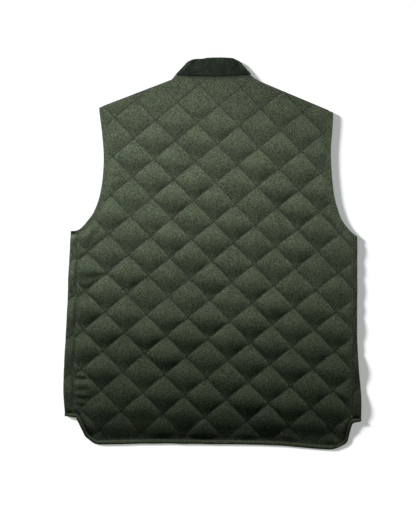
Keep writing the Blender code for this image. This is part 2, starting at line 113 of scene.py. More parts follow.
def smooth_curve(points: Line | Array, step: float) -> Array:
    """Draw a smooth curve through points.

    Args:
        points: The points, in order.
        step: The rough distance between the curve's own points.

    Returns:
        The curve's points.
    """
    points = np.asarray(points, dtype=float)
    padded = np.vstack((2 * points[0] - points[1], points, 2 * points[-1] - points[-2]))
    curve = []
    for p0, p1, p2, p3 in zip(padded, padded[1:], padded[2:], padded[3:]):
        chord = np.linalg.norm(p2 - p1)
        start = (p2 - p0) * chord / (chord + np.linalg.norm(p1 - p0))
        end = (p3 - p1) * chord / (chord + np.linalg.norm(p3 - p2))
        t = np.linspace(0, 1, max(2, round(chord / step)), endpoint=False)[:, None]
        curve.append((2 * t**3 - 3 * t**2 + 1) * p1 + (t**3 - 2 * t**2 + t) * start
                     + (3 * t**2 - 2 * t**3) * p2 + (t**3 - t**2) * end)
    return np.vstack(curve + [points[-1:]])


def arc_lengths(path: Array) -> Array:
    """Give the length along a path from its start to each of its points."""
    return np.concatenate(((0.0,), np.cumsum(np.linalg.norm(np.diff(path, axis=0), axis=1))))


def along_path(path: Array, lengths: Array) -> Array:
    """Find a path's points at distances from its start, with one more axis than the distances."""
    marks = arc_lengths(path)
    return np.stack([np.interp(lengths, marks, column) for column in path.T], axis=-1)


def directions(path: Array) -> Array:
    """Give the unit directions along a path of points."""
    return unit(np.gradient(path, axis=0))


def left_of(along: Array) -> Array:
    """Give the plan vectors a quarter turn to the left of directions."""
    return np.stack((-along[:, 1], along[:, 0]), axis=1)


def stretch_gap(points: Array, start: Array, end: Array) -> Array:
    """Measure how far points lie from a straight stretch.

    Args:
        points: Points in plan.
        start: Where the stretch starts.
        end: Where it ends.

    Returns:
        The squared distances.
    """
    span, away = end - start, points - start
    share = np.clip(away @ span / max(span @ span, TINY), 0, 1)
    return ((away - share[:, None] * span) ** 2).sum(axis=1)


def line_distance(points: Array, line: Array) -> Array:
    """Measure how far points lie from an open line.

    Args:
        points: Points in plan.
        line: The line's points in plan, in order.

    Returns:
        The distance to the line.
    """
    nearest = np.full(len(points), np.inf)
    for start, end in zip(line, line[1:]):
        nearest = np.minimum(nearest, stretch_gap(points, start, end))
    return np.sqrt(nearest)


def inside_distance(points: Array, outline: Array) -> Array:
    """Measure how far points lie inside a closed outline.

    Args:
        points: Points in plan.
        outline: The outline's corners in plan, in order.

    Returns:
        The distance to the outline, negative outside it.
    """
    closed = np.vstack((outline, outline[:1]))
    within = np.zeros(len(points), dtype=bool)
    x, y = points.T
    for (x0, y0), (x1, y1) in zip(closed, closed[1:]):
        if y0 != y1:
            crossed = (y0 > y) != (y1 > y)
            within ^= crossed & (x < x0 + (y - y0) * (x1 - x0) / (y1 - y0))
    return line_distance(points, closed) * np.where(within, 1, -1)


def soft_noise(x: Array, y: Array, size: float, seed: int) -> Array:
    """Make smooth uneven values over a plane.

    Args:
        x: Places along the first direction.
        y: Places along the second direction.
        size: The width of one bump.
        seed: The number that fixes the pattern.

    Returns:
        Values from -1 to 1.
    """
    table = np.random.default_rng(seed).uniform(-1, 1, (NOISE_CELLS, NOISE_CELLS))
    column, row = np.floor(x / size).astype(int), np.floor(y / size).astype(int)
    across, down = smooth_step(x / size - column), smooth_step(y / size - row)

    def corner(i: int, j: int) -> Array:
        """Give the table's value at a corner of each place's cell."""
        return table[(column + i) % NOISE_CELLS, (row + j) % NOISE_CELLS]

    near = corner(0, 0) * (1 - across) + corner(1, 0) * across
    far = corner(0, 1) * (1 - across) + corner(1, 1) * across
    return near * (1 - down) + far * down


@dataclass(frozen=True)
class HalfPattern:
    """One half's cut edges in plan, each listed from the collar downwards.

    The halves differ a little because the garment was laid by hand.
    """

    side: Side
    shoulder: Line
    armhole: Line
    side_edge: Line
    side_seam: Line
    strip_shift: Pair
    armhole_peek: float
    strip_lean: float
    flat_run: float
    # Colour factor of the front's wool: painted light above 1, painted shade below 1.
    nap_and_painted_light: float
    armhole_binding: float = 6.0
    step: float = 3.0

    @property
    def sign(self) -> int:
        """Sign of the way out on this side."""
        return self.side.value

    @property
    def label(self) -> str:
        """The side's name, as the pieces carry it."""
        return self.side.name.lower()

    def armhole_edge(self, peek: float = 0.0) -> Array:
        """Draw a panel's edge round the armhole, inside its binding.

        Args:
            peek: How far this layer shows past the one on top of it.

        Returns:
            The edge, from the shoulder down to the side.
        """
        curve = smooth_curve(self.armhole, self.step)
        inward = left_of(directions(curve)) * -self.sign
        out = peek * np.sin(np.pi * np.linspace(0, 1, len(curve))) ** 2
        edge = curve + inward * (self.armhole_binding - out)[:, None]
        kink, tip = np.array(self.shoulder[-2:])
        slope = unit(kink - tip)
        edge[0] = tip + slope * self.armhole_binding / abs(slope[0])
        corner, below = np.array(self.side_edge[:2])
        down = unit(below - corner)
        edge[-1] = corner + down * self.armhole_binding / abs(down @ inward[-1])
        return edge

    def across_at(self, line: Line, y: Array) -> Array:
        """Give a line's distance across the garment at distances along it."""
        curve = smooth_curve(line, self.step)[::-1]
        return np.interp(y, curve[:, 1], curve[:, 0])

    def edge_at(self, y: Array) -> Array:
        """Give the folded side's distance across the garment at distances along it."""
        return self.across_at(self.side_edge, y)

    def seam_at(self, y: Array) -> Array:
        """Give the side seam's distance across the garment at distances along it."""
        return self.across_at(self.side_seam, y)


LEFT_HALF = HalfPattern(
    side=Side.LEFT,
    shoulder=((-65.2, 339.4), (-70.4, 339.3), (-72.6, 335.8), (-77.2, 330.7), (-215.4, 277.6)),
    armhole=((-215.4, 277.6), (-211.7, 245.0), (-206.2, 199.5), (-206.1, 153.9), (-213.2, 108.3),
             (-225.2, 77.9), (-236.5, 62.7), (-250.1, 47.6), (-258.5, 43.4), (-269.1, 42.6)),
    side_edge=((-269.1, 42.6), (-271.8, 2.0), (-274.8, -59.0), (-277.0, -120.0), (-279.2, -150.0),
               (-280.6, -181.0), (-283.2, -226.0), (-283.6, -257.0), (-282.4, -287.0),
               (-280.9, -306.0)),
    side_seam=((-256.8, 60.0), (-258.0, -60.0), (-261.4, -164.0), (-264.7, -240.0), (-263.0, -330.0)),
    strip_shift=(0.42, 0.15),
    armhole_peek=1.6,
    strip_lean=1.4,
    flat_run=6.0,
    nap_and_painted_light=1.17,
)
RIGHT_HALF = HalfPattern(
    side=Side.RIGHT,
    shoulder=((69.3, 340.0), (74.6, 338.0), (84.0, 330.0), (229.4, 268.9)),
    armhole=((229.4, 268.9), (229.2, 245.0), (225.5, 199.5), (226.7, 153.9), (231.9, 108.3),
             (240.4, 77.9), (247.2, 62.7), (258.2, 47.5), (268.6, 36.8), (276.1, 31.8)),
    side_edge=((276.1, 31.8), (276.2, 2.0), (276.3, -59.0), (276.0, -120.0), (275.6, -150.0),
               (277.2, -181.0), (278.8, -220.0), (282.9, -257.0), (283.7, -290.0), (283.4, -318.0)),
    side_seam=((268.2, 60.0), (268.0, -79.0), (267.0, -164.0), (266.6, -240.0), (266.2, -330.0)),
    strip_shift=(0.2, 0.55),
    armhole_peek=0.5,
    strip_lean=-1.3,
    flat_run=20.0,
    nap_and_painted_light=0.8,
)


@dataclass(frozen=True)
class Pattern:
    """The whole garment's cut in plan, and the heights at which its layers lie."""

    left: HalfPattern = LEFT_HALF
    right: HalfPattern = RIGHT_HALF
    neck_middle: Pair = (1.3, 337.3)
    front_hem_left: Pair = (-280.9, -303.0)
    front_hem_right: Pair = (283.7, -313.6)
    tail: Line = ((-256.8, -303.8), (-252.8, -306.6), (-250.6, -311.2), (-245.6, -321.8),
                  (-239.6, -334.0), (-235.3, -343.0), (-232.4, -345.4), (-223.3, -352.7),
                  (-218.8, -354.8), (-196.0, -355.2), (-104.0, -353.7), (0.0, -355.0),
                  (113.0, -356.6), (175.0, -361.4), (216.0, -364.8), (228.6, -364.6),
                  (241.4, -359.7), (249.7, -354.6), (252.4, -343.8), (255.4, -332.8),
                  (258.0, -322.8), (260.4, -318.0), (264.2, -315.2))
    notch_run: float = 5.0
    neck_fade: float = 14.0
    neck_ends: float = 0.55
    front_neck_depth: float = 68.0
    front_neck_points: int = 24
    centre_gap: float = 1.0
    seam_gap: float = 0.3
    wall: float = 4.0
    drop_start: float = -322.0
    drop_end: float = -352.5
    step: float = 3.0
    past_side: float = 60.0
    past_lean: float = 0.25
    past_lift: float = 0.9

    @property
    def halves(self) -> tuple[HalfPattern, HalfPattern]:
        """The two halves, left first."""
        return self.left, self.right

    @property
    def half_wall(self) -> float:
        """Height of the middle of a wall on the floor."""
        return self.wall / 2

    @property
    def upper_level(self) -> float:
        """Height of the upper layer's inside."""
        return self.wall + self.seam_gap

    @property
    def upper_middle(self) -> float:
        """Height of the middle of a wall on the upper layer."""
        return self.upper_level + self.half_wall

    @property
    def fold_height(self) -> float:
        """Height of the middle of a fold between the layers."""
        return self.wall + self.seam_gap / 2

    @property
    def fold_radius(self) -> float:
        """Radius of the middle of a wall that is folded between the layers."""
        return self.fold_height - self.half_wall

    def centre_edge(self, half: HalfPattern) -> float:
        """Give a front's centre edge as a distance across the garment."""
        return half.sign * self.centre_gap / 2

    def drop(self, y: Array) -> Array:
        """Give the height of the back's inside at distances along the garment."""
        share = (np.asarray(y) - self.drop_end) / (self.drop_start - self.drop_end)
        return self.upper_level * smooth_step(share)

    def front_hem(self, x: Array) -> Array:
        """Give the fronts' lower edge at distances across the garment."""
        (x0, y0), (x1, y1) = self.front_hem_left, self.front_hem_right
        return y0 + (np.asarray(x) - x0) / (x1 - x0) * (y1 - y0)

    def tail_edge(self) -> Array:
        """Draw the back's lower edge.

        Returns:
            The edge, from the left notch to the right one.
        """
        left = self.tail[0][0] - self.notch_run
        right = self.tail[-1][0] + self.notch_run
        first, last = ((x, float(self.front_hem(x))) for x in (left, right))
        return smooth_curve((first, *self.tail, last), self.step)

    def tail_part(self, low: float, high: float) -> Array:
        """Draw the stretch of the back's lower edge between two distances across the garment."""
        edge = self.tail_edge()
        return edge[(edge[:, 0] > low) & (edge[:, 0] < high)]

    def neck_edge(self) -> Array:
        """Draw the collar seam on the back, from left to right."""
        return smooth_curve((self.left.shoulder[0], self.neck_middle, self.right.shoulder[0]), self.step)

    def neck_stand(self, x: Array) -> Array:
        """Work out how far the collar seam stands up.

        Args:
            x: Distances across the garment.

        Returns:
            The share of the full stand, fading to the neck points.
        """
        left, right = (half.shoulder[0][0] for half in self.halves)
        inside = np.minimum(np.asarray(x) - left, right - np.asarray(x))
        return rising_from(self.neck_ends, smooth_step(inside / self.neck_fade))

    def front_neck(self, half: HalfPattern, turn: Array) -> Array:
        """Draw a front's neckline at angles from the neck point, 0, to the centre, a quarter turn."""
        neck_x, neck_y = half.shoulder[0]
        return np.stack((neck_x * np.cos(turn), neck_y - self.front_neck_depth * np.sin(turn)), axis=-1)

    def back_outline(self) -> Array:
        """Draw the back's outline, clockwise from the left neck point."""
        left, right = (np.vstack((half.shoulder[1:-1], *self.back_side(half))) for half in self.halves)
        return np.vstack((self.neck_edge(), right, self.tail_edge()[::-1], left[::-1]))

    def back_side(self, half: HalfPattern) -> tuple[Array, Array]:
        """Draw the back's edges on one side.

        Args:
            half: The half that the edges belong to.

        Returns:
            The armhole edge and the side seam, each from its top.
        """
        armhole = half.armhole_edge()
        armhole = armhole[(half.seam_at(armhole[:, 1]) - armhole[:, 0]) * half.sign > 0]
        seam = smooth_curve(half.side_seam, self.step)
        low = self.front_hem(seam[-1, 0])
        seam = seam[(seam[:, 1] < armhole[-1, 1] - self.step / 2) & (seam[:, 1] > low)]
        return armhole, seam - (half.sign * self.seam_gap / 2, 0)

    def front_outline(self, half: HalfPattern) -> Array:
        """Draw a front's outline, running past its folded side.

        Args:
            half: The half that the front belongs to.

        Returns:
            The outline's corners in plan.
        """
        centre = self.centre_edge(half)
        neckline = self.front_neck(half, np.linspace(0, QUARTER_TURN, self.front_neck_points))
        neckline[-1, 0] = centre
        armhole = half.armhole_edge(half.armhole_peek)
        armhole[-1, 1] += self.past_lift
        beyond = armhole[-1, 0] + half.sign * self.past_side
        slope = (armhole[-1, 1] - armhole[-2, 1]) / (armhole[-1, 0] - armhole[-2, 0])
        level = armhole[-1, 1] + half.sign * self.past_side * slope * self.past_lean
        past_side = np.array(((beyond, level), (beyond, self.front_hem(beyond))))
        foot = np.array(((centre, self.front_hem(centre)),))
        return np.vstack((neckline[::-1], half.shoulder[1:-1], armhole, past_side, foot))


@dataclass(frozen=True)
class Quilting:
    """Diamond quilting: its two families of stitch lines and the swell between them."""

    origin: Pair = (-1.1, -13.5)
    across: Pair = (79.4, -6.5)
    down: Pair = (-3.45, -74.1)
    bend_span: Pair = (247.0, 323.0)
    bend_across: Triple = (2.0, -1.2, 0.0)
    bend_along: Triple = (-3.6, 1.7, -1.1)
    diamonds: int = 10
    cells: int = 18
    crowding: float = 0.6
    fullness: float = 0.8
    softness: float = 0.09
    unevenness: float = 0.16
    uneven_cells: int = 64
    groove_depth: float = 0.22
    groove_width: float = 0.9
    pucker_height: float = 0.18
    pucker_length: float = 6.0
    pucker_reach: float = 9.0
    pucker_spread: float = 7.5
    seed: int = 11

    @property
    def rising(self) -> Array:
        """Step along a rising stitch line to the next crossing."""
        return (np.array(self.across) - np.array(self.down)) / 2

    @property
    def falling(self) -> Array:
        """Step along a falling stitch line to the next crossing."""
        return (np.array(self.across) + np.array(self.down)) / 2

    def place(self, u: Array, v: Array) -> Array:
        """Turn counts of steps along the rising and the falling lines into places in plan."""
        even = np.array(self.origin) + u[..., None] * self.rising + v[..., None] * self.falling
        return even + self.bend(even)

    def bend(self, places: Array) -> Array:
        """Work out how far the laid cloth has drawn its stitch lines from an even lattice.

        Args:
            places: Places in plan.

        Returns:
            The shift in plan at each place.
        """
        x, y = places[..., 0] / self.bend_span[0], places[..., 1] / self.bend_span[1]
        terms = np.stack((x * x, x * y, y * y), axis=-1)
        return np.stack((terms @ np.array(self.bend_across), terms @ np.array(self.bend_along)), axis=-1)

    def count(self, places: Array) -> tuple[Array, Array]:
        """Turn places in plan into counts of stitch lines.

        Args:
            places: Places in plan.

        Returns:
            Steps along the rising lines, and along the falling ones.
        """
        even = places - self.bend(places - self.bend(places))
        axes = np.stack((self.rising, self.falling), axis=1)
        counts = np.linalg.solve(axes, (even - np.array(self.origin)).T)
        return counts[0], counts[1]

    def stations(self) -> Array:
        """Work out the counts at which the grid is cut.

        Returns:
            The counts, crowded towards the stitch lines.
        """
        share = np.arange(self.cells) / self.cells
        share = share - self.crowding * np.sin(2 * np.pi * share) / (2 * np.pi)
        whole = np.arange(-self.diamonds, self.diamonds)
        return np.append((whole[:, None] + share).ravel(), self.diamonds)

    def bulge(self, count: Array) -> Array:
        """Give the swell between two lines of a family, from 0 on a line to 1 half way."""
        full = math.hypot(1.0, self.softness) - self.softness
        return (np.hypot(np.sin(np.pi * count), self.softness) - self.softness) / full

    def line_relief(self, count: Array, along: Array, way: Array, seed: int) -> Array:
        """Work out the grooves and puckers along one family of stitch lines.

        Args:
            count: Counts across the lines.
            along: Counts along the lines.
            way: The step along a line to the next crossing.
            seed: The number that fixes the puckers.

        Returns:
            The fine relief in millimetres.
        """
        line, length = np.round(count), np.linalg.norm(way)
        off_line = count - line
        gap = np.abs(off_line) * abs(np.cross(self.rising, self.falling)) / length
        row = (line * 2 + np.where(off_line > 0, 1, 0)) * self.pucker_spread
        ripple = soft_noise(along * length, row, self.pucker_length, seed)
        near = np.exp(-gap / self.pucker_reach) * smooth_step(gap / self.groove_width / 2)
        groove = self.groove_depth * np.exp(-((gap / self.groove_width) ** 2))
        return self.pucker_height * ripple * near - groove

    def swell(self, places: Array, shift: Pair = (0.0, 0.0)) -> tuple[Array, Array]:
        """Work out the padded relief.

        Args:
            places: Places in plan.
            shift: Counts by which this panel's lines are offset.

        Returns:
            The share of the full puff, and the fine relief of grooves and puckers in millimetres.
        """
        u, v = (count + offset for count, offset in zip(self.count(places), shift))
        table = np.random.default_rng(self.seed).normal(1.0, self.unevenness, (self.uneven_cells,) * 2)
        column, row = (np.floor(count).astype(int) % self.uneven_cells for count in (u, v))
        share = (self.bulge(u) * self.bulge(v)) ** self.fullness * table[column, row]
        relief = self.line_relief(u, v, self.falling, self.seed)
        return share, relief + self.line_relief(v, u, self.rising, self.seed + 1)


@dataclass(frozen=True)
class Crease:
    """A soft trough or ridge pressed into the cloth between two places in plan."""

    start: Pair
    end: Pair
    height: float
    width: float
    end_share: float = 0.45
    end_inset: float = 0.05

    def relief(self, places: Array) -> Array:
        """Work out the crease's height.

        Args:
            places: Places in plan.

        Returns:
            The height at each place, fading past the crease's ends.
        """
        start, span = np.array(self.start), np.array(self.end) - np.array(self.start)
        share = np.clip((places - start) @ span / (span @ span), 0, 1)
        gap = np.linalg.norm(places - start - share[:, None] * span, axis=1)
        middle = np.sin(np.pi * np.clip(share, self.end_inset, 1 - self.end_inset))
        return self.height * rising_from(self.end_share, middle) * np.exp(-((gap / self.width) ** 2))


@dataclass(frozen=True)
class Rumple:
    """Slack in the cloth: soft uneven waves of one size."""

    height: float
    size: float
    seed: int

    def relief(self, places: Array) -> Array:
        """Give the waves' height at places in plan."""
        return self.height * soft_noise(places[:, 0], places[:, 1], self.size, self.seed)


@dataclass(frozen=True)
class EdgeFinish:
    """How a padded panel ends at one of its edges."""

    share: float
    roll: float
    taper: float
    least: float
    tucked: bool = False

    def factors(self, places: Array, line: Array) -> tuple[Array, Array]:
        """Work out what the edge leaves of the panel.

        Args:
            places: Places in plan.
            line: The edge's points in plan.

        Returns:
            The share of the padding that is left at each place, and of the whole thickness.
        """
        gap = line_distance(places, line)
        padding = rising_from(self.least, smooth_step(gap / self.taper))
        near = np.clip(gap / self.roll, 0, 1)
        rise = smooth_step(near) if self.tucked else round_over(near)
        return padding, rising_from(self.share, rise)


@dataclass(frozen=True)
class ClippedGrid:
    """A grid of cells cut along a level line, kept as blends of its corner points."""

    first: Array
    second: Array
    share: Array
    faces: Faces

    def blend(self, values: Array) -> Array:
        """Carry values from the whole grid's points to the cut grid's points."""
        share = self.share.reshape((-1,) + (1,) * (values.ndim - 1))
        return values[self.first] * (1 - share) + values[self.second] * share

    @classmethod
    def cut(cls, inside: Array) -> "ClippedGrid":
        """Cut a grid to where a distance is positive.

        Args:
            inside: The distance at each point of the grid, by row and column.

        Returns:
            The cut grid.
        """
        rows, columns = inside.shape
        level = inside.ravel()
        kept = np.flatnonzero(level > 0)
        number = np.full(level.size, -1)
        number[kept] = np.arange(len(kept))
        corner = np.arange(rows * columns).reshape(rows, columns)
        cells = np.stack((corner[:-1, :-1], corner[1:, :-1], corner[1:, 1:], corner[:-1, 1:]), axis=-1)
        cells = cells.reshape(-1, 4)
        within = (level[cells] > 0).sum(axis=1)
        faces = [tuple(face) for face in number[cells[within == 4]].tolist()]
        first, second, share = list(kept), list(kept), [0.0] * len(kept)
        crossings: dict[tuple[int, int], int] = {}
        for cell in cells[(within > 0) & (within < 4)].tolist():
            face = []
            for here, there in zip(cell, cell[1:] + cell[:1]):
                if level[here] > 0:
                    face.append(int(number[here]))
                if (level[here] > 0) != (level[there] > 0):
                    key = (min(here, there), max(here, there))
                    if key not in crossings:
                        crossings[key] = len(first)
                        first.append(key[0])
                        second.append(key[1])
                        share.append(level[key[0]] / (level[key[0]] - level[key[1]]))
                    face.append(crossings[key])
            faces.append(tuple(face))
        return cls(np.array(first), np.array(second), np.array(share), faces)


def wall_mesh(outer: Array, inner: Array, faces: Faces) -> MeshData:
    """Close two skins that share their faces into one wall.

    Args:
        outer: Points of the outer skin.
        inner: Points of the inner skin.
        faces: Faces of the outer skin, counted by its points.

    Returns:
        The wall's points and faces.
    """
    count = len(outer)
    edges = {(a, b) for face in faces for a, b in zip(face, face[1:] + face[:1])}
    rim = [(b, a, a + count, b + count) for a, b in edges if (b, a) not in edges]
    back = [tuple(i + count for i in reversed(face)) for face in faces]
    return np.vstack((outer, inner)), faces + back + sorted(rim)


def section_faces(rows: int, count: int, ring: bool = False) -> Faces:
    """Join closed sections into a closed skin.

    Args:
        rows: The number of sections.
        count: The number of points round each section.
        ring: Whether the last section joins the first, where otherwise both are capped.

    Returns:
        The skin's faces.
    """
    faces: Faces = []
    for row in range(rows if ring else rows - 1):
        here, there = row * count, (row + 1) % rows * count
        for i in range(count):
            j = (i + 1) % count
            faces.append((here + i, here + j, there + j, there + i))
    if not ring:
        faces += [tuple(reversed(range(count))), tuple(range((rows - 1) * count, rows * count))]
    return faces


def loft_mesh(sections: Array, ring: bool = False) -> MeshData:
    """Make a solid through closed sections, given by section, place round it and coordinate."""
    return sections.reshape(-1, 3), section_faces(*sections.shape[:2], ring)


def turn_outwards(mesh: bpy.types.Mesh) -> None:
    """Turn a closed mesh's faces outwards if they point in.

    Args:
        mesh: The mesh.
    """
    mesh.calc_loop_triangles()
    corners = np.empty(len(mesh.loop_triangles) * 3, dtype=int)
    mesh.loop_triangles.foreach_get("vertices", corners)
    points = np.empty(len(mesh.vertices) * 3)
    mesh.vertices.foreach_get("co", points)
    a, b, c = points.reshape(-1, 3)[corners.reshape(-1, 3)].transpose(1, 0, 2)
    if np.einsum("ij,ij->", a, np.cross(b, c)) < 0:
        mesh.flip_normals()


def add_piece(name: str, mesh_data: MeshData, material: bpy.types.Material,
              replaced: tuple[str, ...] = ()) -> bpy.types.Object:
    """Make a piece of the garment that lies on its solid.

    Args:
        name: The piece's name.
        mesh_data: Its points, in millimetres, and its faces.
        material: Its finish.
        replaced: Solids that it stands for.

    Returns:
        The new object.
    """
    points, faces = mesh_data
    mesh = bpy.data.meshes.new(name)
    mesh.from_pydata(((np.asarray(points) + LAID_SHIFT) * MM).tolist(), [], faces)
    turn_outwards(mesh)
    mesh.materials.append(material)
    mesh.shade_smooth()
    mesh.set_sharp_from_angle(angle=SHARP_TURN)
    piece = bpy.data.objects.new(name, mesh)
    bpy.context.scene.collection.objects.link(piece)
    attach(piece, BODY)
    if replaced:
        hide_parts(*replaced)
    return piece


def scaled(values: Triple, factor: float) -> Triple:
    """Give a colour or a grain times a factor."""
    return tuple(value * factor for value in values)


@dataclass(frozen=True)
class NodeMaker:
    """Adds and links the nodes of one material."""

    material: bpy.types.Material

    @classmethod
    def start(cls, name: str) -> "NodeMaker":
        """Make an empty node material.

        Args:
            name: The material's name.

        Returns:
            The maker of its nodes.
        """
        material = bpy.data.materials.new(name)
        material.use_nodes = True
        return cls(material)

    @property
    def shader(self) -> bpy.types.Node:
        """The material's principled shader."""
        return self.material.node_tree.nodes["Principled BSDF"]

    def add(self, kind: str, **settings: object) -> bpy.types.Node:
        """Add a node.

        Args:
            kind: The node's type name.
            settings: Its attributes, and its unlinked inputs by name.

        Returns:
            The node.
        """
        node = self.material.node_tree.nodes.new(kind)
        for name, value in settings.items():
            if hasattr(node, name):
                setattr(node, name, value)
            else:
                node.inputs[name.replace("_", " ")].default_value = value
        return node

    def link(self, out: Socket, into: Socket) -> None:
        """Join an output to an input."""
        self.material.node_tree.links.new(out, into)

    def place(self) -> Socket:
        """Give the coordinates on the piece, in metres."""
        return self.add("ShaderNodeTexCoord").outputs["Object"]

    def part(self, vector: Socket, axis: str) -> Socket:
        """Take one coordinate out of a vector.

        Args:
            vector: The vector.
            axis: The coordinate's letter.

        Returns:
            The coordinate.
        """
        split = self.add("ShaderNodeSeparateXYZ")
        self.link(vector, split.inputs["Vector"])
        return split.outputs[axis]

    def stretch(self, vector: Socket, scale: float, grain: Triple) -> Socket:
        """Stretch coordinates.

        Args:
            vector: The coordinates.
            scale: Bumps or cells per metre.
            grain: Shares of that scale along each axis.

        Returns:
            The stretched coordinates.
        """
        mapping = self.add("ShaderNodeMapping", Scale=scaled(grain, scale))
        self.link(vector, mapping.inputs["Vector"])
        return mapping.outputs["Vector"]

    def noise(self, vector: Socket, scale: float, grain: Triple = (1.0, 1.0, 1.0), detail: float = 3.0,
              roughness: float = 0.6) -> Socket:
        """Add noise over stretched coordinates.

        Args:
            vector: The coordinates.
            scale: Bumps per metre.
            grain: Shares of that scale along each axis.
            detail: Finer layers of noise.
            roughness: Strength of the finer layers.

        Returns:
            The noise's value.
        """
        noise = self.add("ShaderNodeTexNoise", Scale=1.0, Detail=detail, Roughness=roughness)
        self.link(self.stretch(vector, scale, grain), noise.inputs["Vector"])
        return noise.outputs["Fac"]

    def cells(self, vector: Socket, scale: float, grain: Triple, stray: float) -> tuple[Socket, Socket]:
        """Add ragged cells, each with its own two random numbers.

        Args:
            vector: The coordinates.
            scale: Cells per metre.
            grain: Shares of that scale along each axis.
            stray: How far the cells' edges wander, in cells.

        Returns:
            The two numbers, from 0 to 1.
        """
        places = self.stretch(vector, scale, grain)
        wander = self.add("ShaderNodeTexNoise", Scale=2.6, Detail=4.0, Roughness=0.65)
        shift = self.add("ShaderNodeVectorMath", operation='MULTIPLY_ADD')
        shift.inputs[1].default_value = (stray,) * 3
        voronoi = self.add("ShaderNodeTexVoronoi", Scale=1.0)
        split = self.add("ShaderNodeSeparateColor")
        self.link(places, wander.inputs["Vector"])
        self.link(wander.outputs["Color"], shift.inputs[0])
        self.link(places, shift.inputs[2])
        self.link(shift.outputs["Vector"], voronoi.inputs["Vector"])
        self.link(voronoi.outputs["Color"], split.inputs["Color"])
        return split.outputs["Red"], split.outputs["Green"]

    def ramp(self, value: Socket, stops: tuple[tuple[float, Triple], ...]) -> Socket:
        """Add a colour ramp.

        Args:
            value: The number that picks the colour.
            stops: Places on the ramp and their colours.

        Returns:
            The colour.
        """
        node = self.add("ShaderNodeValToRGB")
        elements = node.color_ramp.elements
        while len(elements) < len(stops):
            elements.new(0.5)
        for element, (place, colour) in zip(elements, stops):
            element.position = place
            element.color = (*colour, 1.0)
        self.link(value, node.inputs["Fac"])
        return node.outputs["Color"]

    def shades(self, value: Socket, stops: Line, colour: Triple = (1.0, 1.0, 1.0)) -> Socket:
        """Add a ramp through shades of one colour, given as places and factors."""
        return self.ramp(value, tuple((place, scaled(colour, factor)) for place, factor in stops))

    def math(self, operation: str, first: object, second: object) -> Socket:
        """Add a sum of two numbers or sockets.

        Args:
            operation: The sum's name.
            first: A number or a socket.
            second: A number or a socket.

        Returns:
            The result.
        """
        node = self.add("ShaderNodeMath", operation=operation)
        for socket, value in zip(node.inputs, (first, second)):
            if isinstance(value, Socket):
                self.link(value, socket)
            else:
                socket.default_value = value
        return node.outputs["Value"]

    def weigh(self, first: Socket, second: Socket, share: float) -> Socket:
        """Mix two numbers, with the first one's share."""
        parts = self.math('MULTIPLY', first, share), self.math('MULTIPLY', second, 1 - share)
        return self.math('ADD', *parts)

    def multiply(self, first: Socket, second: Socket) -> Socket:
        """Multiply two colours.

        Args:
            first: A colour.
            second: A colour.

        Returns:
            Their product.
        """
        node = self.add("ShaderNodeMix", data_type='RGBA', blend_type='MULTIPLY')
        node.inputs["Factor"].default_value = 1.0
        self.link(first, node.inputs["A"])
        self.link(second, node.inputs["B"])
        return node.outputs["Result"]

    def rim(self, shade: float, span: Pair) -> Socket:
        """Add painted shade where the cloth turns down at its edges.

        Args:
            shade: The shade that is left where the cloth stands upright.
            span: How level the cloth is where the painted shade is full, and where it begins.

        Returns:
            The painted shade as a grey.
        """
        upright = self.part(self.add("ShaderNodeNewGeometry").outputs["True Normal"], "Z")
        level = self.math('ABSOLUTE', upright, 0.0)
        return self.shades(level, ((span[0], shade), (span[1], 1.0)))

    def paint(self, colour: Socket, **values: object) -> None:
        """Give the shader its colour and its plain inputs.

        Args:
            colour: The base colour.
            values: The other inputs by name.
        """
        self.link(colour, self.shader.inputs["Base Color"])
        for name, value in values.items():
            self.shader.inputs[name.replace("_", " ")].default_value = value

    def bump(self, height: Socket, strength: float, distance: float) -> None:
        """Roughen the shader's normal.

        Args:
            height: The relief's value.
            strength: Its share.
            distance: Its depth in metres.
        """
        node = self.add("ShaderNodeBump", Strength=strength, Distance=distance)
        self.link(height, node.inputs["Height"])
        self.link(node.outputs["Normal"], self.shader.inputs["Normal"])


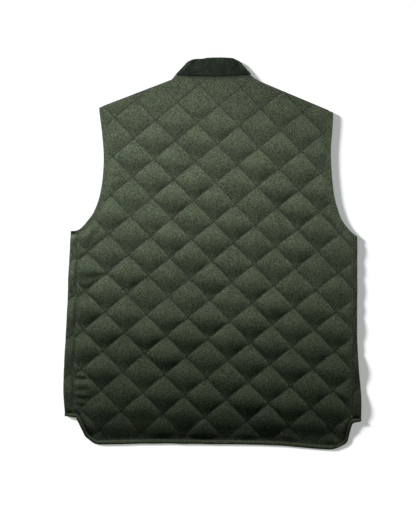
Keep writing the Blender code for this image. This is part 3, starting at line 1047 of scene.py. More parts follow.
@dataclass(frozen=True)
class WoolFinish:
    """Heathered wool with a raised, napped face: mixed light and dark fibres that lie along the garment.
    """

    name: str = "heathered_wool"
    colour: Triple = (0.0516, 0.065, 0.0392)
    tones: Line = ((0.36, 0.58), (0.47, 0.8), (0.53, 1.12), (0.64, 1.6))
    patches: Line = ((0.3, 0.9), (0.7, 1.1))
    specks: Line = ((0.0, 0.47), (0.5, 1.0), (1.0, 1.76))
    warm: Triple = (1.12, 1.0, 0.88)
    cool: Triple = (0.9, 1.0, 1.13)
    fleck: Triple = (0.17, 0.185, 0.15)
    fibre_scale: float = 2200.0
    heather_scale: float = 950.0
    heather_share: float = 0.62
    speck_scale: float = 880.0
    speck_stray: float = 1.8
    cloud_scale: float = 22.0
    grain: Triple = (1.0, 0.75, 0.8)
    fibre_grain: Triple = (1.0, 0.3, 0.6)
    roughness: float = 0.95
    specular: float = 0.2
    sheen: float = 0.22
    sheen_roughness: float = 0.45
    # Painted shade at edges that turn down: the colour left there, and the levels over which it fades in.
    painted_rim_shade: float = 0.35
    painted_rim_span: Pair = (0.2, 0.7)
    # Colour factor for painted light and shade on a front's copy of the wool.
    nap_and_painted_light: float = 1.0

    def material(self) -> bpy.types.Material:
        """Build the node material.

        Returns:
            The material.
        """
        make = NodeMaker.start(self.name)
        place = make.place()
        fibre = make.noise(place, self.fibre_scale, self.fibre_grain, detail=2.0)
        heather = make.noise(place, self.heather_scale, self.grain, detail=2.0)
        speck, hue = make.cells(place, self.speck_scale, self.grain, self.speck_stray)
        cloud = make.noise(place, self.cloud_scale, detail=2.0)
        mixed = make.weigh(heather, fibre, self.heather_share)
        wool = make.shades(mixed, self.tones, scaled(self.colour, self.nap_and_painted_light))
        tint = make.ramp(hue, ((0.0, self.cool), (1.0, self.warm)))
        tone = make.multiply(make.shades(cloud, self.patches), make.shades(speck, self.specks))
        colour = make.multiply(make.multiply(wool, tint), tone)
        # The colour carries painted shade where the wool's edges turn down.
        make.paint(make.multiply(colour, make.rim(self.painted_rim_shade, self.painted_rim_span)),
                   Roughness=self.roughness, Specular_IOR_Level=self.specular, Sheen_Weight=self.sheen,
                   Sheen_Roughness=self.sheen_roughness, Sheen_Tint=(*self.fleck, 1.0))
        make.bump(mixed, strength=0.55, distance=0.0012)
        return make.material


@dataclass(frozen=True)
class CordFinish:
    """Dark needlecord with a short pile that is rubbed here and there, with painted light that brightens
    it towards the collar's top edge.
    """

    name: str = "needlecord"
    colour: Triple = (0.0098, 0.0141, 0.0094)
    rubbed: Triple = (0.023, 0.0305, 0.0212)
    deep: float = 0.55
    stops: Triple = (0.4, 0.5, 0.63)
    nap_scale: float = 700.0
    nap_grain: Triple = (1.0, 0.45, 1.0)
    rub_scale: float = 60.0
    rub_grain: Triple = (1.0, 0.6, 1.0)
    rub_share: float = 0.45
    # Heights in metres over which painted light lightens the cord towards the collar's top edge, after a
    # slight painted shade at its seam.
    painted_light_span: Pair = (0.336, 0.372)
    painted_light_ramp: Line = ((0.0, 0.95), (1.0, 2.6))
    roughness: float = 0.9
    specular: float = 0.1
    sheen: float = 0.25
    sheen_roughness: float = 0.4
    # Painted shade at edges that turn down: the colour left there, and the levels over which it fades in.
    painted_rim_shade: float = 0.12
    painted_rim_span: Pair = (0.45, 0.97)

    def material(self) -> bpy.types.Material:
        """Build the node material.

        Returns:
            The material.
        """
        make = NodeMaker.start(self.name)
        place = make.place()
        # Noise of the cord's short pile.
        nap_and_painted_light = make.noise(place, self.nap_scale, self.nap_grain)
        rub = make.noise(place, self.rub_scale, self.rub_grain, detail=4.0, roughness=0.7)
        tones = (scaled(self.colour, self.deep), self.colour, self.rubbed)
        pile = make.ramp(make.weigh(rub, nap_and_painted_light, self.rub_share), tuple(zip(self.stops, tones)))
        # Painted light: the cord's colour is scaled up from its seam towards the collar's top edge.
        low, high = self.painted_light_span
        up = make.math('DIVIDE', make.math('SUBTRACT', make.part(place, "Y"), low), high - low)
        colour = make.multiply(pile, make.shades(up, self.painted_light_ramp))
        # The colour carries painted shade where the cord's edges turn down.
        make.paint(make.multiply(colour, make.rim(self.painted_rim_shade, self.painted_rim_span)),
                   Roughness=self.roughness, Specular_IOR_Level=self.specular, Sheen_Weight=self.sheen,
                   Sheen_Roughness=self.sheen_roughness, Sheen_Tint=(*self.rubbed, 1.0))
        make.bump(nap_and_painted_light, strength=0.4, distance=0.0006)
        return make.material


@dataclass(frozen=True)
class ThreadFinish:
    """Matt spun thread, darker than the cloth."""

    name: str = "dark_thread"
    colour: Triple = (0.0085, 0.011, 0.0077)
    tones: Line = ((0.35, 0.7), (0.65, 1.3))
    twist_scale: float = 2500.0
    roughness: float = 0.8

    def material(self) -> bpy.types.Material:
        """Build the node material.

        Returns:
            The material.
        """
        make = NodeMaker.start(self.name)
        twist = make.noise(make.place(), self.twist_scale, detail=1.0)
        make.paint(make.shades(twist, self.tones, self.colour), Roughness=self.roughness)
        make.bump(twist, strength=0.3, distance=0.0002)
        return make.material


@dataclass(frozen=True)
class FloorFinish:
    """Plain matt white with a faint cloudiness."""

    name: str = "white_floor"
    tones: Line = ((0.3, 0.9), (0.7, 0.92))
    cloud_scale: float = 3.0
    roughness: float = 1.0
    specular: float = 0.0

    def material(self) -> bpy.types.Material:
        """Build the node material.

        Returns:
            The material.
        """
        make = NodeMaker.start(self.name)
        cloud = make.noise(make.place(), self.cloud_scale)
        make.paint(make.shades(cloud, self.tones), Roughness=self.roughness,
                   Specular_IOR_Level=self.specular)
        return make.material


@dataclass
class QuiltedBack:
    """The back: a padded sheet quilted in diamonds over a plain inside."""

    pattern: Pattern
    quilting: Quilting
    wall: float = 2.7
    puff: Line = ((-340.0, 5.7), (-264.0, 5.9), (-179.0, 6.2), (-93.0, 5.7), (-8.0, 5.5), (78.0, 5.4),
                  (158.0, 5.5), (215.0, 5.1), (255.0, 4.1), (290.0, 1.7), (345.0, 0.8))
    hem_slope: Pair = (-286.0, -346.0)
    hem_share: float = 0.36
    hem_lean: float = 0.02
    hem_sides: float = 0.4
    corner_keep: float = 0.6
    loft: float = 2.8
    loft_span: tuple[float, float, float, float] = (-40.0, -140.0, -270.0, -337.0)
    loft_fade: float = 70.0
    neck_rise: float = 1.8
    neck_reach: float = 7.8
    neck_dip: float = 0.9
    neck_dip_run: float = 32.0
    grid_margin: float = 8.0
    neck_end: EdgeFinish = EdgeFinish(share=1.0, roll=1.0, taper=12.0, least=0.0)
    shoulder_end: EdgeFinish = EdgeFinish(share=0.92, roll=1.2, taper=7.0, least=0.7)
    armhole_end: EdgeFinish = EdgeFinish(share=0.95, roll=3.0, taper=12.0, least=0.0, tucked=True)
    seam_share: float = 0.82
    seam_roll: float = 1.5
    seam_least: float = 0.3
    tail_ends: tuple[tuple[Pair, EdgeFinish], ...] = (
        ((-208.0, 226.0), EdgeFinish(share=0.15, roll=12.0, taper=9.0, least=0.0, tucked=True)),
        ((-300.0, -219.0), EdgeFinish(share=0.8, roll=4.0, taper=5.0, least=0.3, tucked=True)),
        ((238.0, 300.0), EdgeFinish(share=0.8, roll=3.5, taper=5.0, least=0.3, tucked=True)),
    )
    rumples: tuple[Rumple, ...] = (Rumple(height=0.9, size=46.0, seed=5),
                                   Rumple(height=0.35, size=17.0, seed=6))
    creases: tuple[Crease, ...] = (
        Crease((-252.0, -46.0), (-206.0, -42.5), -1.9, 6.0),
        Crease((-252.0, -60.0), (-232.0, -59.0), 0.8, 4.0),
        Crease((-259.0, -231.0), (-241.0, -231.5), 1.2, 4.0),
        Crease((-263.0, -239.0), (-233.0, -239.5), -4.0, 3.8),
        Crease((-259.0, -259.5), (-238.0, -259.5), -2.7, 4.2),
        Crease((-259.0, -275.0), (-236.0, -276.0), -0.8, 4.2),
        Crease((-256.0, -268.0), (-238.0, -268.5), 1.2, 4.0),
        Crease((-260.0, -283.0), (-237.0, -284.0), 1.7, 5.0),
        Crease((-262.0, -294.0), (-247.0, -298.0), 1.6, 6.0),
        Crease((238.0, -264.0), (253.0, -274.0), 1.2, 6.0),
        Crease((-258.0, -247.0), (-240.0, -247.5), 0.8, 4.0),
        Crease((-239.0, 21.0), (-222.0, 57.0), 0.8, 4.5),
        Crease((-229.0, 25.0), (-214.0, 49.0), -1.6, 5.0),
        Crease((-200.0, 229.0), (-181.0, 228.5), -1.4, 5.0),
        Crease((-194.0, 145.0), (-172.0, 145.5), -1.4, 5.0),
    )

    def __post_init__(self) -> None:
        """Keep the outline, and each edge with its finish, which every height depends on."""
        self.outline = self.pattern.back_outline()
        self.edges = [(self.pattern.neck_edge(), self.neck_end)]
        self.edges += [(self.pattern.tail_part(*span), finish) for span, finish in self.tail_ends]
        for half in self.pattern.halves:
            armhole, seam = self.pattern.back_side(half)
            seam_end = EdgeFinish(self.seam_share, self.seam_roll, half.flat_run, self.seam_least)
            self.edges += [(np.array(half.shoulder), self.shoulder_end), (armhole, self.armhole_end),
                           (seam, seam_end)]

    def off_sides(self, places: Array) -> Array:
        """Work out how far places are from the side seams.

        Args:
            places: Places in plan.

        Returns:
            Shares from 0 at a seam to 1 well inside.
        """
        left, right = (half.seam_at(places[:, 1]) for half in self.pattern.halves)
        inside = np.minimum(places[:, 0] - left, right - places[:, 0])
        return smooth_step(inside / self.loft_fade)

    def relief(self, places: Array) -> Array:
        """Work out the padding's own height: puffs, rumples and creases.

        Args:
            places: Places in plan.

        Returns:
            The height over the stitch lines at each place.
        """
        share, relief = self.quilting.swell(places)
        relief += np.interp(places[:, 1], *np.array(self.puff).T) * share
        for rumple in self.rumples:
            relief += rumple.relief(places) * share
        for crease in self.creases:
            relief += crease.relief(places)
        return relief

    def low_rise(self, places: Array) -> Array:
        """Work out the broad rise of the cloth low on the back and at the tail's corners.

        Args:
            places: Places in plan.

        Returns:
            The rise at each place.
        """
        y, inside = places[:, 1], self.off_sides(places)
        start, full, turn, end = self.loft_span
        up, down = smooth_step((start - y) / (start - full)), smooth_step((turn - y) / (turn - end))
        corners = self.corner_keep * (self.pattern.upper_level - self.pattern.drop(y))
        return self.loft * up * (1 - down) * inside + corners * (1 - inside)

    def hem_thinness(self, places: Array) -> Array:
        """Work out how the padding thins towards the hem.

        Args:
            places: Places in plan.

        Returns:
            The share of the thickness that is left at each place.
        """
        start, end = self.hem_slope
        low = places[:, 1] + self.hem_lean * (places[:, 0] - self.pattern.tail[0][0])
        near_hem = smooth_step((start - low) / (start - end))
        near_hem *= rising_from(self.hem_sides, self.off_sides(places))
        return 1 - (1 - self.hem_share) * near_hem

    def neck_lift(self, places: Array) -> Array:
        """Work out how the cloth stands up to the collar seam, past a shallow dip.

        Args:
            places: Places in plan.

        Returns:
            The lift at each place.
        """
        gap = line_distance(places, self.pattern.neck_edge())
        lift = self.neck_rise * (1 - np.clip(gap / self.neck_reach, 0, 1)) ** 2
        lift -= self.neck_dip * (1 - smooth_step((gap - self.neck_reach) / self.neck_dip_run))
        return lift * self.pattern.neck_stand(places[:, 0])

    def thickness(self, places: Array) -> Array:
        """Work out the padded cloth's thickness.

        Args:
            places: Places in plan.

        Returns:
            The thickness at each place.
        """
        padding, whole = np.ones(len(places)), np.ones(len(places))
        for line, finish in self.edges:
            factors = finish.factors(places, line)
            padding *= factors[0]
            whole *= factors[1]
        thick = self.wall + self.low_rise(places) + self.relief(places) * padding
        return thick * whole * self.hem_thinness(places) + self.neck_lift(places)

    def height(self, places: Array) -> Array:
        """Give the height of the back's outer face at places in plan."""
        return self.pattern.drop(places[:, 1]) + self.thickness(places)

    def build(self) -> MeshData:
        """Build the wall, cut from a grid that follows the stitch lines.

        Returns:
            The wall's points and faces.
        """
        lines = self.quilting.stations()
        u, v = np.meshgrid(lines, lines, indexing="ij")
        places = self.quilting.place(u, v).reshape(-1, 2)
        low = self.outline.min(axis=0) - self.grid_margin
        high = self.outline.max(axis=0) + self.grid_margin
        near = ((places > low) & (places < high)).all(axis=1)
        inside = np.full(len(places), -1.0)
        inside[near] = inside_distance(places[near], self.outline)
        grid = ClippedGrid.cut(inside.reshape(u.shape))
        places = grid.blend(places)
        outer = np.column_stack((places, self.height(places)))
        inner = np.column_stack((places, self.pattern.drop(places[:, 1])))
        return wall_mesh(outer, inner, grid.faces)

    def dress(self, material: bpy.types.Material) -> bpy.types.Object:
        """Make the back in its finish."""
        return add_piece("quilted_back", self.build(), material, ("back",))


@dataclass
class WrappedFront:
    """A front: flat on the floor, folded round the side to a quilted strip on the back."""

    pattern: Pattern
    half: HalfPattern
    quilting: Quilting
    strip_wall: float = 2.9
    puff: float = 4.0
    ridge: float = 0.6
    ridge_width: float = 2.4
    edge_least: float = 0.2
    edge_taper: float = 6.0
    edge_round: float = 1.0
    edge_thin: float = 0.88
    top_end: EdgeFinish = EdgeFinish(share=0.76, roll=3.0, taper=10.0, least=0.0, tucked=True)
    foot_end: EdgeFinish = EdgeFinish(share=0.6, roll=3.0, taper=7.0, least=0.0, tucked=True)
    top_points: int = 6
    scallop: float = 0.6
    tuck_run: float = 4.0
    least_width: float = 1.0
    row_step: float = 2.5
    margin_rows: int = 3
    outline_rows: int = 60
    floor_columns: int = 16
    fold_columns: int = 12
    strip_columns: int = 12

    def __post_init__(self) -> None:
        """Keep the strip's ends with their finishes, which its heights depend on."""
        outline = self.pattern.front_outline(self.half)
        far = int(np.argmax(np.abs(outline[:, 0])))
        top, foot = outline[far - self.top_points:far + 1], outline[-2:]
        self.ends = ((top, self.top_end), (foot, self.foot_end))

    def seam_edge(self, y: Array) -> Array:
        """Give the strip's inner edge across the garment at distances along it."""
        return self.half.seam_at(y) + self.half.sign * self.pattern.seam_gap / 2

    def height(self, places: Array) -> Array:
        """Work out the height of the strip's outer face.

        Args:
            places: Places in plan.

        Returns:
            The height at each place.
        """
        x, y = places.T
        share, relief = self.quilting.swell(places, self.half.strip_shift)
        seam = self.seam_edge(y)
        fold = self.half.edge_at(y) - self.half.sign * self.pattern.fold_height
        gap = np.abs(x - seam)
        padding = rising_from(self.edge_least, smooth_step(gap / self.edge_taper))
        whole = rising_from(self.edge_thin, round_over(np.clip(gap / self.edge_round, 0, 1)))
        tuck = smooth_step(np.abs(x - fold) / self.tuck_run)
        for line, finish in self.ends:
            factors = finish.factors(places, line)
            padding *= factors[0]
            whole *= 1 - (1 - factors[1]) * tuck
        ridge = self.ridge * np.exp(-(((gap - self.ridge_width) / self.ridge_width) ** 2))
        width = np.maximum(np.abs(fold - seam), self.least_width)
        lean = self.half.strip_lean * np.clip(gap / width, 0, 1)
        thick = self.strip_wall + (self.puff * share + relief + ridge + lean) * padding
        return self.pattern.upper_level + thick * whole

    def strip_outline(self) -> Array:
        """Draw the outline of the strip that lies on the back.

        Returns:
            The outline's corners in plan.
        """
        top = self.half.armhole_edge()[-1, 1]
        foot = self.pattern.front_hem(self.half.edge_at(self.pattern.front_hem_right[1]))
        rows = np.linspace(foot, top, self.outline_rows)
        edge = np.column_stack((self.half.edge_at(rows), rows))
        seam = np.column_stack((self.half.seam_at(rows), rows))
        return np.vstack((edge, seam[::-1]))

    def build(self) -> MeshData:
        """Build the wall row by row along the garment, then cut it to its outline.

        Returns:
            The wall's points and faces.
        """
        sign, wall, gap = self.half.sign, self.pattern.wall, self.pattern.seam_gap
        margin = self.margin_rows * self.row_step
        low, high = self.pattern.front_hem_right[1] - margin, self.half.shoulder[0][1] + margin
        rows = np.arange(low, high, self.row_step)
        edge, seam = self.half.edge_at(rows), self.seam_edge(rows)
        share, _ = self.quilting.swell(np.column_stack((edge, rows)), self.half.strip_shift)
        edge = edge - sign * self.scallop * (1 - np.clip(share, 0, 1))
        fold = edge - sign * self.pattern.fold_height
        skins: tuple[list[Array], list[Array]] = ([], [])

        def lay(*columns: tuple[Array, Array | float]) -> None:
            """Add a column of points to the outer skin and one to the inner, each by its x and z."""
            for skin, (x, z) in zip(skins, columns):
                skin.append(np.column_stack((x, rows, np.broadcast_to(z, len(rows)))))

        for part in np.linspace(0, 1, self.floor_columns, endpoint=False):
            x = part * fold - (1 - part) * sign * margin
            lay((x, 0.0), (x, wall))
        crown = self.height(np.column_stack((fold, rows)))
        for angle in np.linspace(-QUARTER_TURN, QUARTER_TURN, self.fold_columns, endpoint=False):
            out, lift = sign * math.cos(angle), (1 + math.sin(angle)) / 2
            lay((fold + out * self.pattern.fold_height, crown * lift),
                (fold + out * gap / 2, wall + gap * lift))
        for part in np.linspace(0, 1, self.strip_columns):
            x = fold + part * (seam - fold)
            lay((x, self.height(np.column_stack((x, rows)))), (x, self.pattern.upper_level))
        outer, inner = (np.stack(skin, axis=1).reshape(-1, 3) for skin in skins)
        inside = inside_distance(outer[:, :2], self.pattern.front_outline(self.half))
        grid = ClippedGrid.cut(inside.reshape(len(rows), -1))
        return wall_mesh(grid.blend(outer), grid.blend(inner), grid.faces)

    def dress(self) -> bpy.types.Object:
        """Make the front in its own copy of the wool, whose colour carries the half's painted light and
        shade.

        Returns:
            The new object.
        """
        label = self.half.label
        material = WoolFinish(f"wool_{label}", nap_and_painted_light=self.half.nap_and_painted_light).material()
        return add_piece(f"wrapped_front_{label}", self.build(), material, (f"front_{label}",))


@dataclass
class BindingRun:
    """A stretch of binding: edge points, the way out from the cloth and the way over it."""

    edge: Array
    out: Array
    over: Array

    @classmethod
    def flat(cls, plan: Array, out: Array, heights: Array | float, up: int) -> "BindingRun":
        """Lay a stretch flat.

        Args:
            plan: Edge points in plan.
            out: Plan vectors out from the cloth.
            heights: Heights of the binding's middle.
            up: 1 where the cloth's outer face is up, -1 where it is down.

        Returns:
            The stretch.
        """
        count = len(plan)
        return cls(np.column_stack((plan, np.broadcast_to(heights, count))),
                   np.column_stack((out, np.zeros(count))), np.tile(UP * up, (count, 1)))

    @classmethod
    def fold(cls, pattern: Pattern, centre: Array, along: Array, out: Array, angles: Pair,
             points: int = 12) -> "BindingRun":
        """Fold a stretch over between the two layers.

        Args:
            pattern: The garment's cut and levels.
            centre: The fold's middle in plan.
            along: The way past the fold in plan.
            out: The way out from the cloth in plan.
            angles: Turns from straight up at its start and end.
            points: Points round the fold, with its two ends.

        Returns:
            The stretch, without its two ends.
        """
        turn = np.linspace(*angles, points)[1:-1]
        over = np.outer(np.cos(turn), UP) + np.outer(np.sin(turn), (*along, 0.0))
        edge = np.array((*centre, pattern.fold_height)) + over * pattern.fold_radius
        return cls(edge, np.tile((*out, 0.0), (len(turn), 1)), over)

    @classmethod
    def join(cls, *runs: "BindingRun") -> "BindingRun":
        """Join stretches end to end."""
        return cls(*(np.vstack([getattr(run, name) for run in runs]) for name in ("edge", "out", "over")))

    def reverse(self) -> "BindingRun":
        """Give the stretch from its other end."""
        return BindingRun(self.edge[::-1], self.out[::-1], self.over[::-1])


@dataclass(frozen=True)
class BindingSection:
    """The rolled section of a binding, in shares of its width and wall."""

    points: Line = ((0.0, -0.34), (0.05, -0.46), (0.16, -0.5), (0.5, -0.5), (0.74, -0.48), (0.9, -0.36),
                    (0.98, -0.18), (1.0, 0.0), (0.97, 0.16), (0.9, 0.33), (0.8, 0.46), (0.68, 0.52),
                    (0.55, 0.5), (0.41, 0.4), (0.28, 0.26), (0.16, 0.1), (0.06, -0.03), (0.0, -0.1),
                    (-0.05, -0.13), (-0.07, -0.16), (-0.05, -0.185), (0.0, -0.2))
    crown: int = 11
    unevenness: float = 0.05
    uneven_length: float = 28.0
    ripple: float = 0.35
    ripple_length: float = 7.0
    seed: int = 23

    @classmethod
    def low(cls) -> "BindingSection":
        """Draw a flatter section that lies level with the cloth at its inner edge.

        Returns:
            The section.
        """
        return cls(points=((0.0, -0.34), (0.05, -0.46), (0.16, -0.5), (0.5, -0.5), (0.74, -0.48),
                           (0.9, -0.36), (0.98, -0.18), (1.0, -0.03), (0.98, 0.06), (0.92, 0.12),
                           (0.82, 0.165), (0.64, 0.19), (0.44, 0.19), (0.24, 0.18), (0.08, 0.165),
                           (0.0, 0.155), (-0.08, 0.135), (-0.11, 0.105), (-0.08, 0.08), (0.0, 0.07)),
                   ripple=0.06)

    def sweep(self, pattern: Pattern, run: BindingRun, width: Array) -> Array:
        """Carry the section along a stretch.

        Args:
            pattern: The garment's cut and levels.
            run: The stretch.
            width: The binding's width at each point.

        Returns:
            Sections by point along the stretch.
        """
        marks = arc_lengths(run.edge)
        still = np.zeros(len(marks))
        wide = width * (1 + self.unevenness * soft_noise(marks, still, self.uneven_length, self.seed))
        wave = self.ripple * soft_noise(marks, still, self.ripple_length, self.seed + 1)
        shows = np.clip(run.over[:, 2], 0, 1)
        crest = max(height for _, height in self.points)
        lines = []
        for number, (reach, height) in enumerate(self.points):
            out = pattern.seam_gap + reach * (wide - pattern.seam_gap) * (shows if reach < 0 else 1.0)
            fill = (1 - shows) * (crest - height) if number > self.crown else 0.0
            lift = (height + fill) * pattern.wall + (wave * (1 - reach) if height > 0 else 0.0)
            lines.append(run.edge + run.out * out[:, None]
                         + run.over * np.broadcast_to(lift, len(marks))[:, None])
        sections = np.stack(lines, axis=1)
        sections[..., 2] = np.maximum(sections[..., 2], 0.0)
        return sections


@dataclass
class ArmholeBinding:
    """One ring of binding along the back's armhole, over the shoulder and under the arm."""

    pattern: Pattern
    half: HalfPattern
    section: BindingSection = field(default_factory=BindingSection.low)
    reach: float = 1.0
    tip_drop: float = -0.9
    tip_clear: float = 1.0
    lean_run: float = 24.0

    def ways_out(self, path: Array) -> Array:
        """Work out the way out from the cloth along an edge.

        Args:
            path: The edge, from the shoulder down to the side.

        Returns:
            Plan vectors that end level with the shoulder and with the folded side.
        """
        along, marks = directions(path), arc_lengths(path)
        out = left_of(along) * self.half.sign
        kink, tip = np.array(self.half.shoulder[-2:])
        corner, below = np.array(self.half.side_edge[:2])
        first = (tip - kink) @ along[0] / ((tip - kink) @ out[0])
        last = (corner - below) @ along[-1] / ((corner - below) @ out[-1])
        lean = first * np.clip(1 - marks / self.lean_run, 0, 1)
        lean += last * np.clip(1 - (marks[-1] - marks) / self.lean_run, 0, 1)
        return out + along * lean[:, None]

    def build(self) -> MeshData:
        """Build the ring.

        Returns:
            The ring's points and faces.
        """
        fold_height = self.pattern.fold_height
        upper = self.half.armhole_edge()
        lower = self.half.armhole_edge(self.half.armhole_peek)
        ends, marks = directions(upper), arc_lengths(upper)
        tip = fold_height + self.tip_drop
        keep = (marks > tip + self.tip_clear) & (marks < marks[-1] - fold_height)
        first = upper[0] + ends[0] * tip
        last = upper[-1] - ends[-1] * (fold_height - self.reach)
        upper, lower = (np.vstack((first, edge[keep], last)) for edge in (upper, lower))
        along, upper_out, lower_out = directions(upper), self.ways_out(upper), self.ways_out(lower)
        run = BindingRun.join(
            BindingRun.flat(upper, upper_out, self.pattern.upper_middle, 1),
            BindingRun.fold(self.pattern, last, along[-1], upper_out[-1], (0, math.pi)),
            BindingRun.flat(lower, lower_out, self.pattern.half_wall, -1).reverse(),
            BindingRun.fold(self.pattern, first, -along[0], upper_out[0], (math.pi, 0)),
        )
        width = np.full(len(run.edge), self.half.armhole_binding)
        return loft_mesh(self.section.sweep(self.pattern, run, width), ring=True)

    def dress(self, material: bpy.types.Material) -> bpy.types.Object:
        """Make the ring in its finish."""
        name = f"armhole_binding_{self.half.label}"
        return add_piece(f"rolled_{name}", self.build(), material, (name,))


@dataclass
class HemBinding:
    """One strip of binding from the centre front, round a side and the tail, and back."""

    pattern: Pattern
    strip_width: float = 6.5
    notch_width: float = 8.6
    tail_width: float = 8.0
    notch_blend: float = 16.0
    front_sections: int = 60
    section: BindingSection = field(default_factory=BindingSection)

    def front_run(self, half: HalfPattern) -> BindingRun:
        """Lay the binding under one front and fold it round the side.

        Args:
            half: The half that the front belongs to.

        Returns:
            The stretch, from the centre front to the strip.
        """
        level = self.pattern.front_hem(half.sign * self.pattern.front_hem_right[0])
        fold = float(half.edge_at(level)) - half.sign * self.pattern.fold_height
        x = np.linspace(self.pattern.centre_edge(half), fold, self.front_sections)
        plan = np.column_stack((x, self.pattern.front_hem(x)))
        out = np.tile(TO_HEM, (len(x), 1))
        return BindingRun.join(
            BindingRun.flat(plan, out, self.pattern.half_wall, -1),
            BindingRun.fold(self.pattern, plan[-1], np.array((half.sign, 0.0)), out[0], (math.pi, 0)),
            BindingRun.flat(plan[-1:], out[:1], self.pattern.upper_middle, 1),
        )

    def build(self) -> MeshData:
        """Build the strip.

        Returns:
            The strip's points and faces.
        """
        tail = self.pattern.tail_edge()
        out = -left_of(directions(tail))
        out[0] = out[-1] = TO_HEM
        left, right = (self.front_run(half) for half in self.pattern.halves)
        level = self.pattern.drop(tail[:, 1]) + self.pattern.half_wall
        run = BindingRun.join(left, BindingRun.flat(tail, out, level, 1), right.reverse())
        past = smooth_step((self.pattern.front_hem(tail[:, 0]) - tail[:, 1]) / self.notch_blend)
        width = np.concatenate((np.full(len(left.edge), self.strip_width),
                                self.notch_width + past * (self.tail_width - self.notch_width),
                                np.full(len(right.edge), self.strip_width)))
        return loft_mesh(self.section.sweep(self.pattern, run, width))

    def dress(self, material: bpy.types.Material) -> bpy.types.Object:
        """Make the strip in its finish."""
        return add_piece("rolled_hem_binding", self.build(), material, ("hem_binding",))


@dataclass
class StandCollar:
    """The collar: one needlecord band, folded at the neck points onto the fronts."""

    pattern: Pattern
    top: Line = ((-37.6, 368.8), (-31.5, 369.9), (-17.0, 370.5), (-10.5, 372.0), (16.0, 372.8),
                 (29.0, 372.3), (39.0, 371.4), (43.6, 369.3))
    top_step: float = 1.0
    front_depth: float = 64.0
    front_count: int = 24
    wale: float = 1.7
    wale_height: float = 0.2
    wale_fade: float = 6.0
    columns_per_wale: int = 5
    rise_columns: int = 16
    top_round: float = 1.2
    top_share: float = 0.55
    base_lift: float = 0.2
    base_run: float = 6.0
    fold_sections: int = 14
    fold_round: float = 4.0

    def section(self, base: Array, top: Array, over: Array, height: float, wales: float = 0.0,
                stand: float = 0.0, cut: float = 0.0) -> Array:
        """Draw one section of the collar's wall.

        Args:
            base: Its seam point in plan.
            top: Its upper point in plan.
            over: The way out of the wall.
            height: The height of the wall's middle.
            wales: How far the cord stands out here.
            stand: The share of the lift that meets the back's seam.
            cut: How far it stops short of the upper point.

        Returns:
            The section's points, round the wall.
        """
        rise = np.array((*(top - base), 0.0))
        length = np.linalg.norm(rise) - cut
        along = np.linspace(self.pattern.seam_gap, length, self.rise_columns)
        near = np.clip((length - along) / self.top_round, 0, 1)
        through = self.pattern.half_wall * rising_from(self.top_share, round_over(near))
        lift = stand * self.base_lift * np.clip(1 - (along - along[0]) / self.base_run, 0, 1) ** 2
        middle = np.outer(along, unit(rise))
        outer, inner = middle + np.outer(through + wales + lift, over), middle - np.outer(through, over)
        return np.array((*base, height)) + np.vstack((outer, inner[::-1]))

    def front_sections(self, half: HalfPattern, corner: Array) -> list[Array]:
        """Draw the sections of a fold and of the front half past it.

        Args:
            half: The half of the garment.
            corner: The collar's upper corner at the fold.

        Returns:
            The sections, from the fold to the centre front.
        """
        neck = np.array(half.shoulder[0])
        rise = unit(np.array((*(corner - neck), 0.0)))
        out = np.array((-rise[1], rise[0], 0.0)) * -half.sign
        lean = rise * rise[0] / out[0]
        sections = []
        for angle in np.linspace(0, math.pi, self.fold_sections)[1:-1]:
            over = UP * math.cos(angle) + out * math.sin(angle)
            cut = self.fold_round * math.sin(angle)
            folded = self.section(neck, corner, over, self.pattern.fold_height, cut=cut)
            folded += over * self.pattern.fold_radius
            past_fold = (folded - (*neck, 0.0)) @ out
            sections.append(folded + np.outer(past_fold, lean))
        for turn in np.linspace(0, QUARTER_TURN, self.front_count):
            clear = np.array((self.pattern.centre_edge(half) * math.sin(turn), 0.0))
            low = self.pattern.front_neck(half, turn)
            high = np.array((corner[0] * math.cos(turn), corner[1] - self.front_depth * math.sin(turn)))
            sections.append(self.section(low + clear, high + clear, -UP, self.pattern.half_wall))
        return sections

    def build(self) -> MeshData:
        """Build the band through its sections.

        Returns:
            The band's points and faces.
        """
        neck, upper = self.pattern.neck_edge(), smooth_curve(self.top, self.top_step)
        width = arc_lengths(neck)[-1]
        share = np.linspace(0, 1, round(width / self.wale * self.columns_per_wale))
        base = along_path(neck, share * width)
        top = along_path(upper, share * arc_lengths(upper)[-1])
        wales = self.wale_height * np.sin(2 * np.pi * share * width / self.wale)
        wales *= smooth_step(np.minimum(share, 1 - share) * width / self.wale_fade)
        stands = self.pattern.neck_stand(base[:, 0])
        back = [self.section(low, high, UP, self.pattern.upper_middle, wale, stand)
                for low, high, wale, stand in zip(base, top, wales, stands)]
        left = self.front_sections(self.pattern.left, np.array(self.top[0]))
        right = self.front_sections(self.pattern.right, np.array(self.top[-1]))
        return loft_mesh(np.stack(left[::-1] + back + right))

    def dress(self, material: bpy.types.Material) -> bpy.types.Object:
        """Make the collar in its finish."""
        return add_piece("cord_collar", self.build(), material, ("collar",))


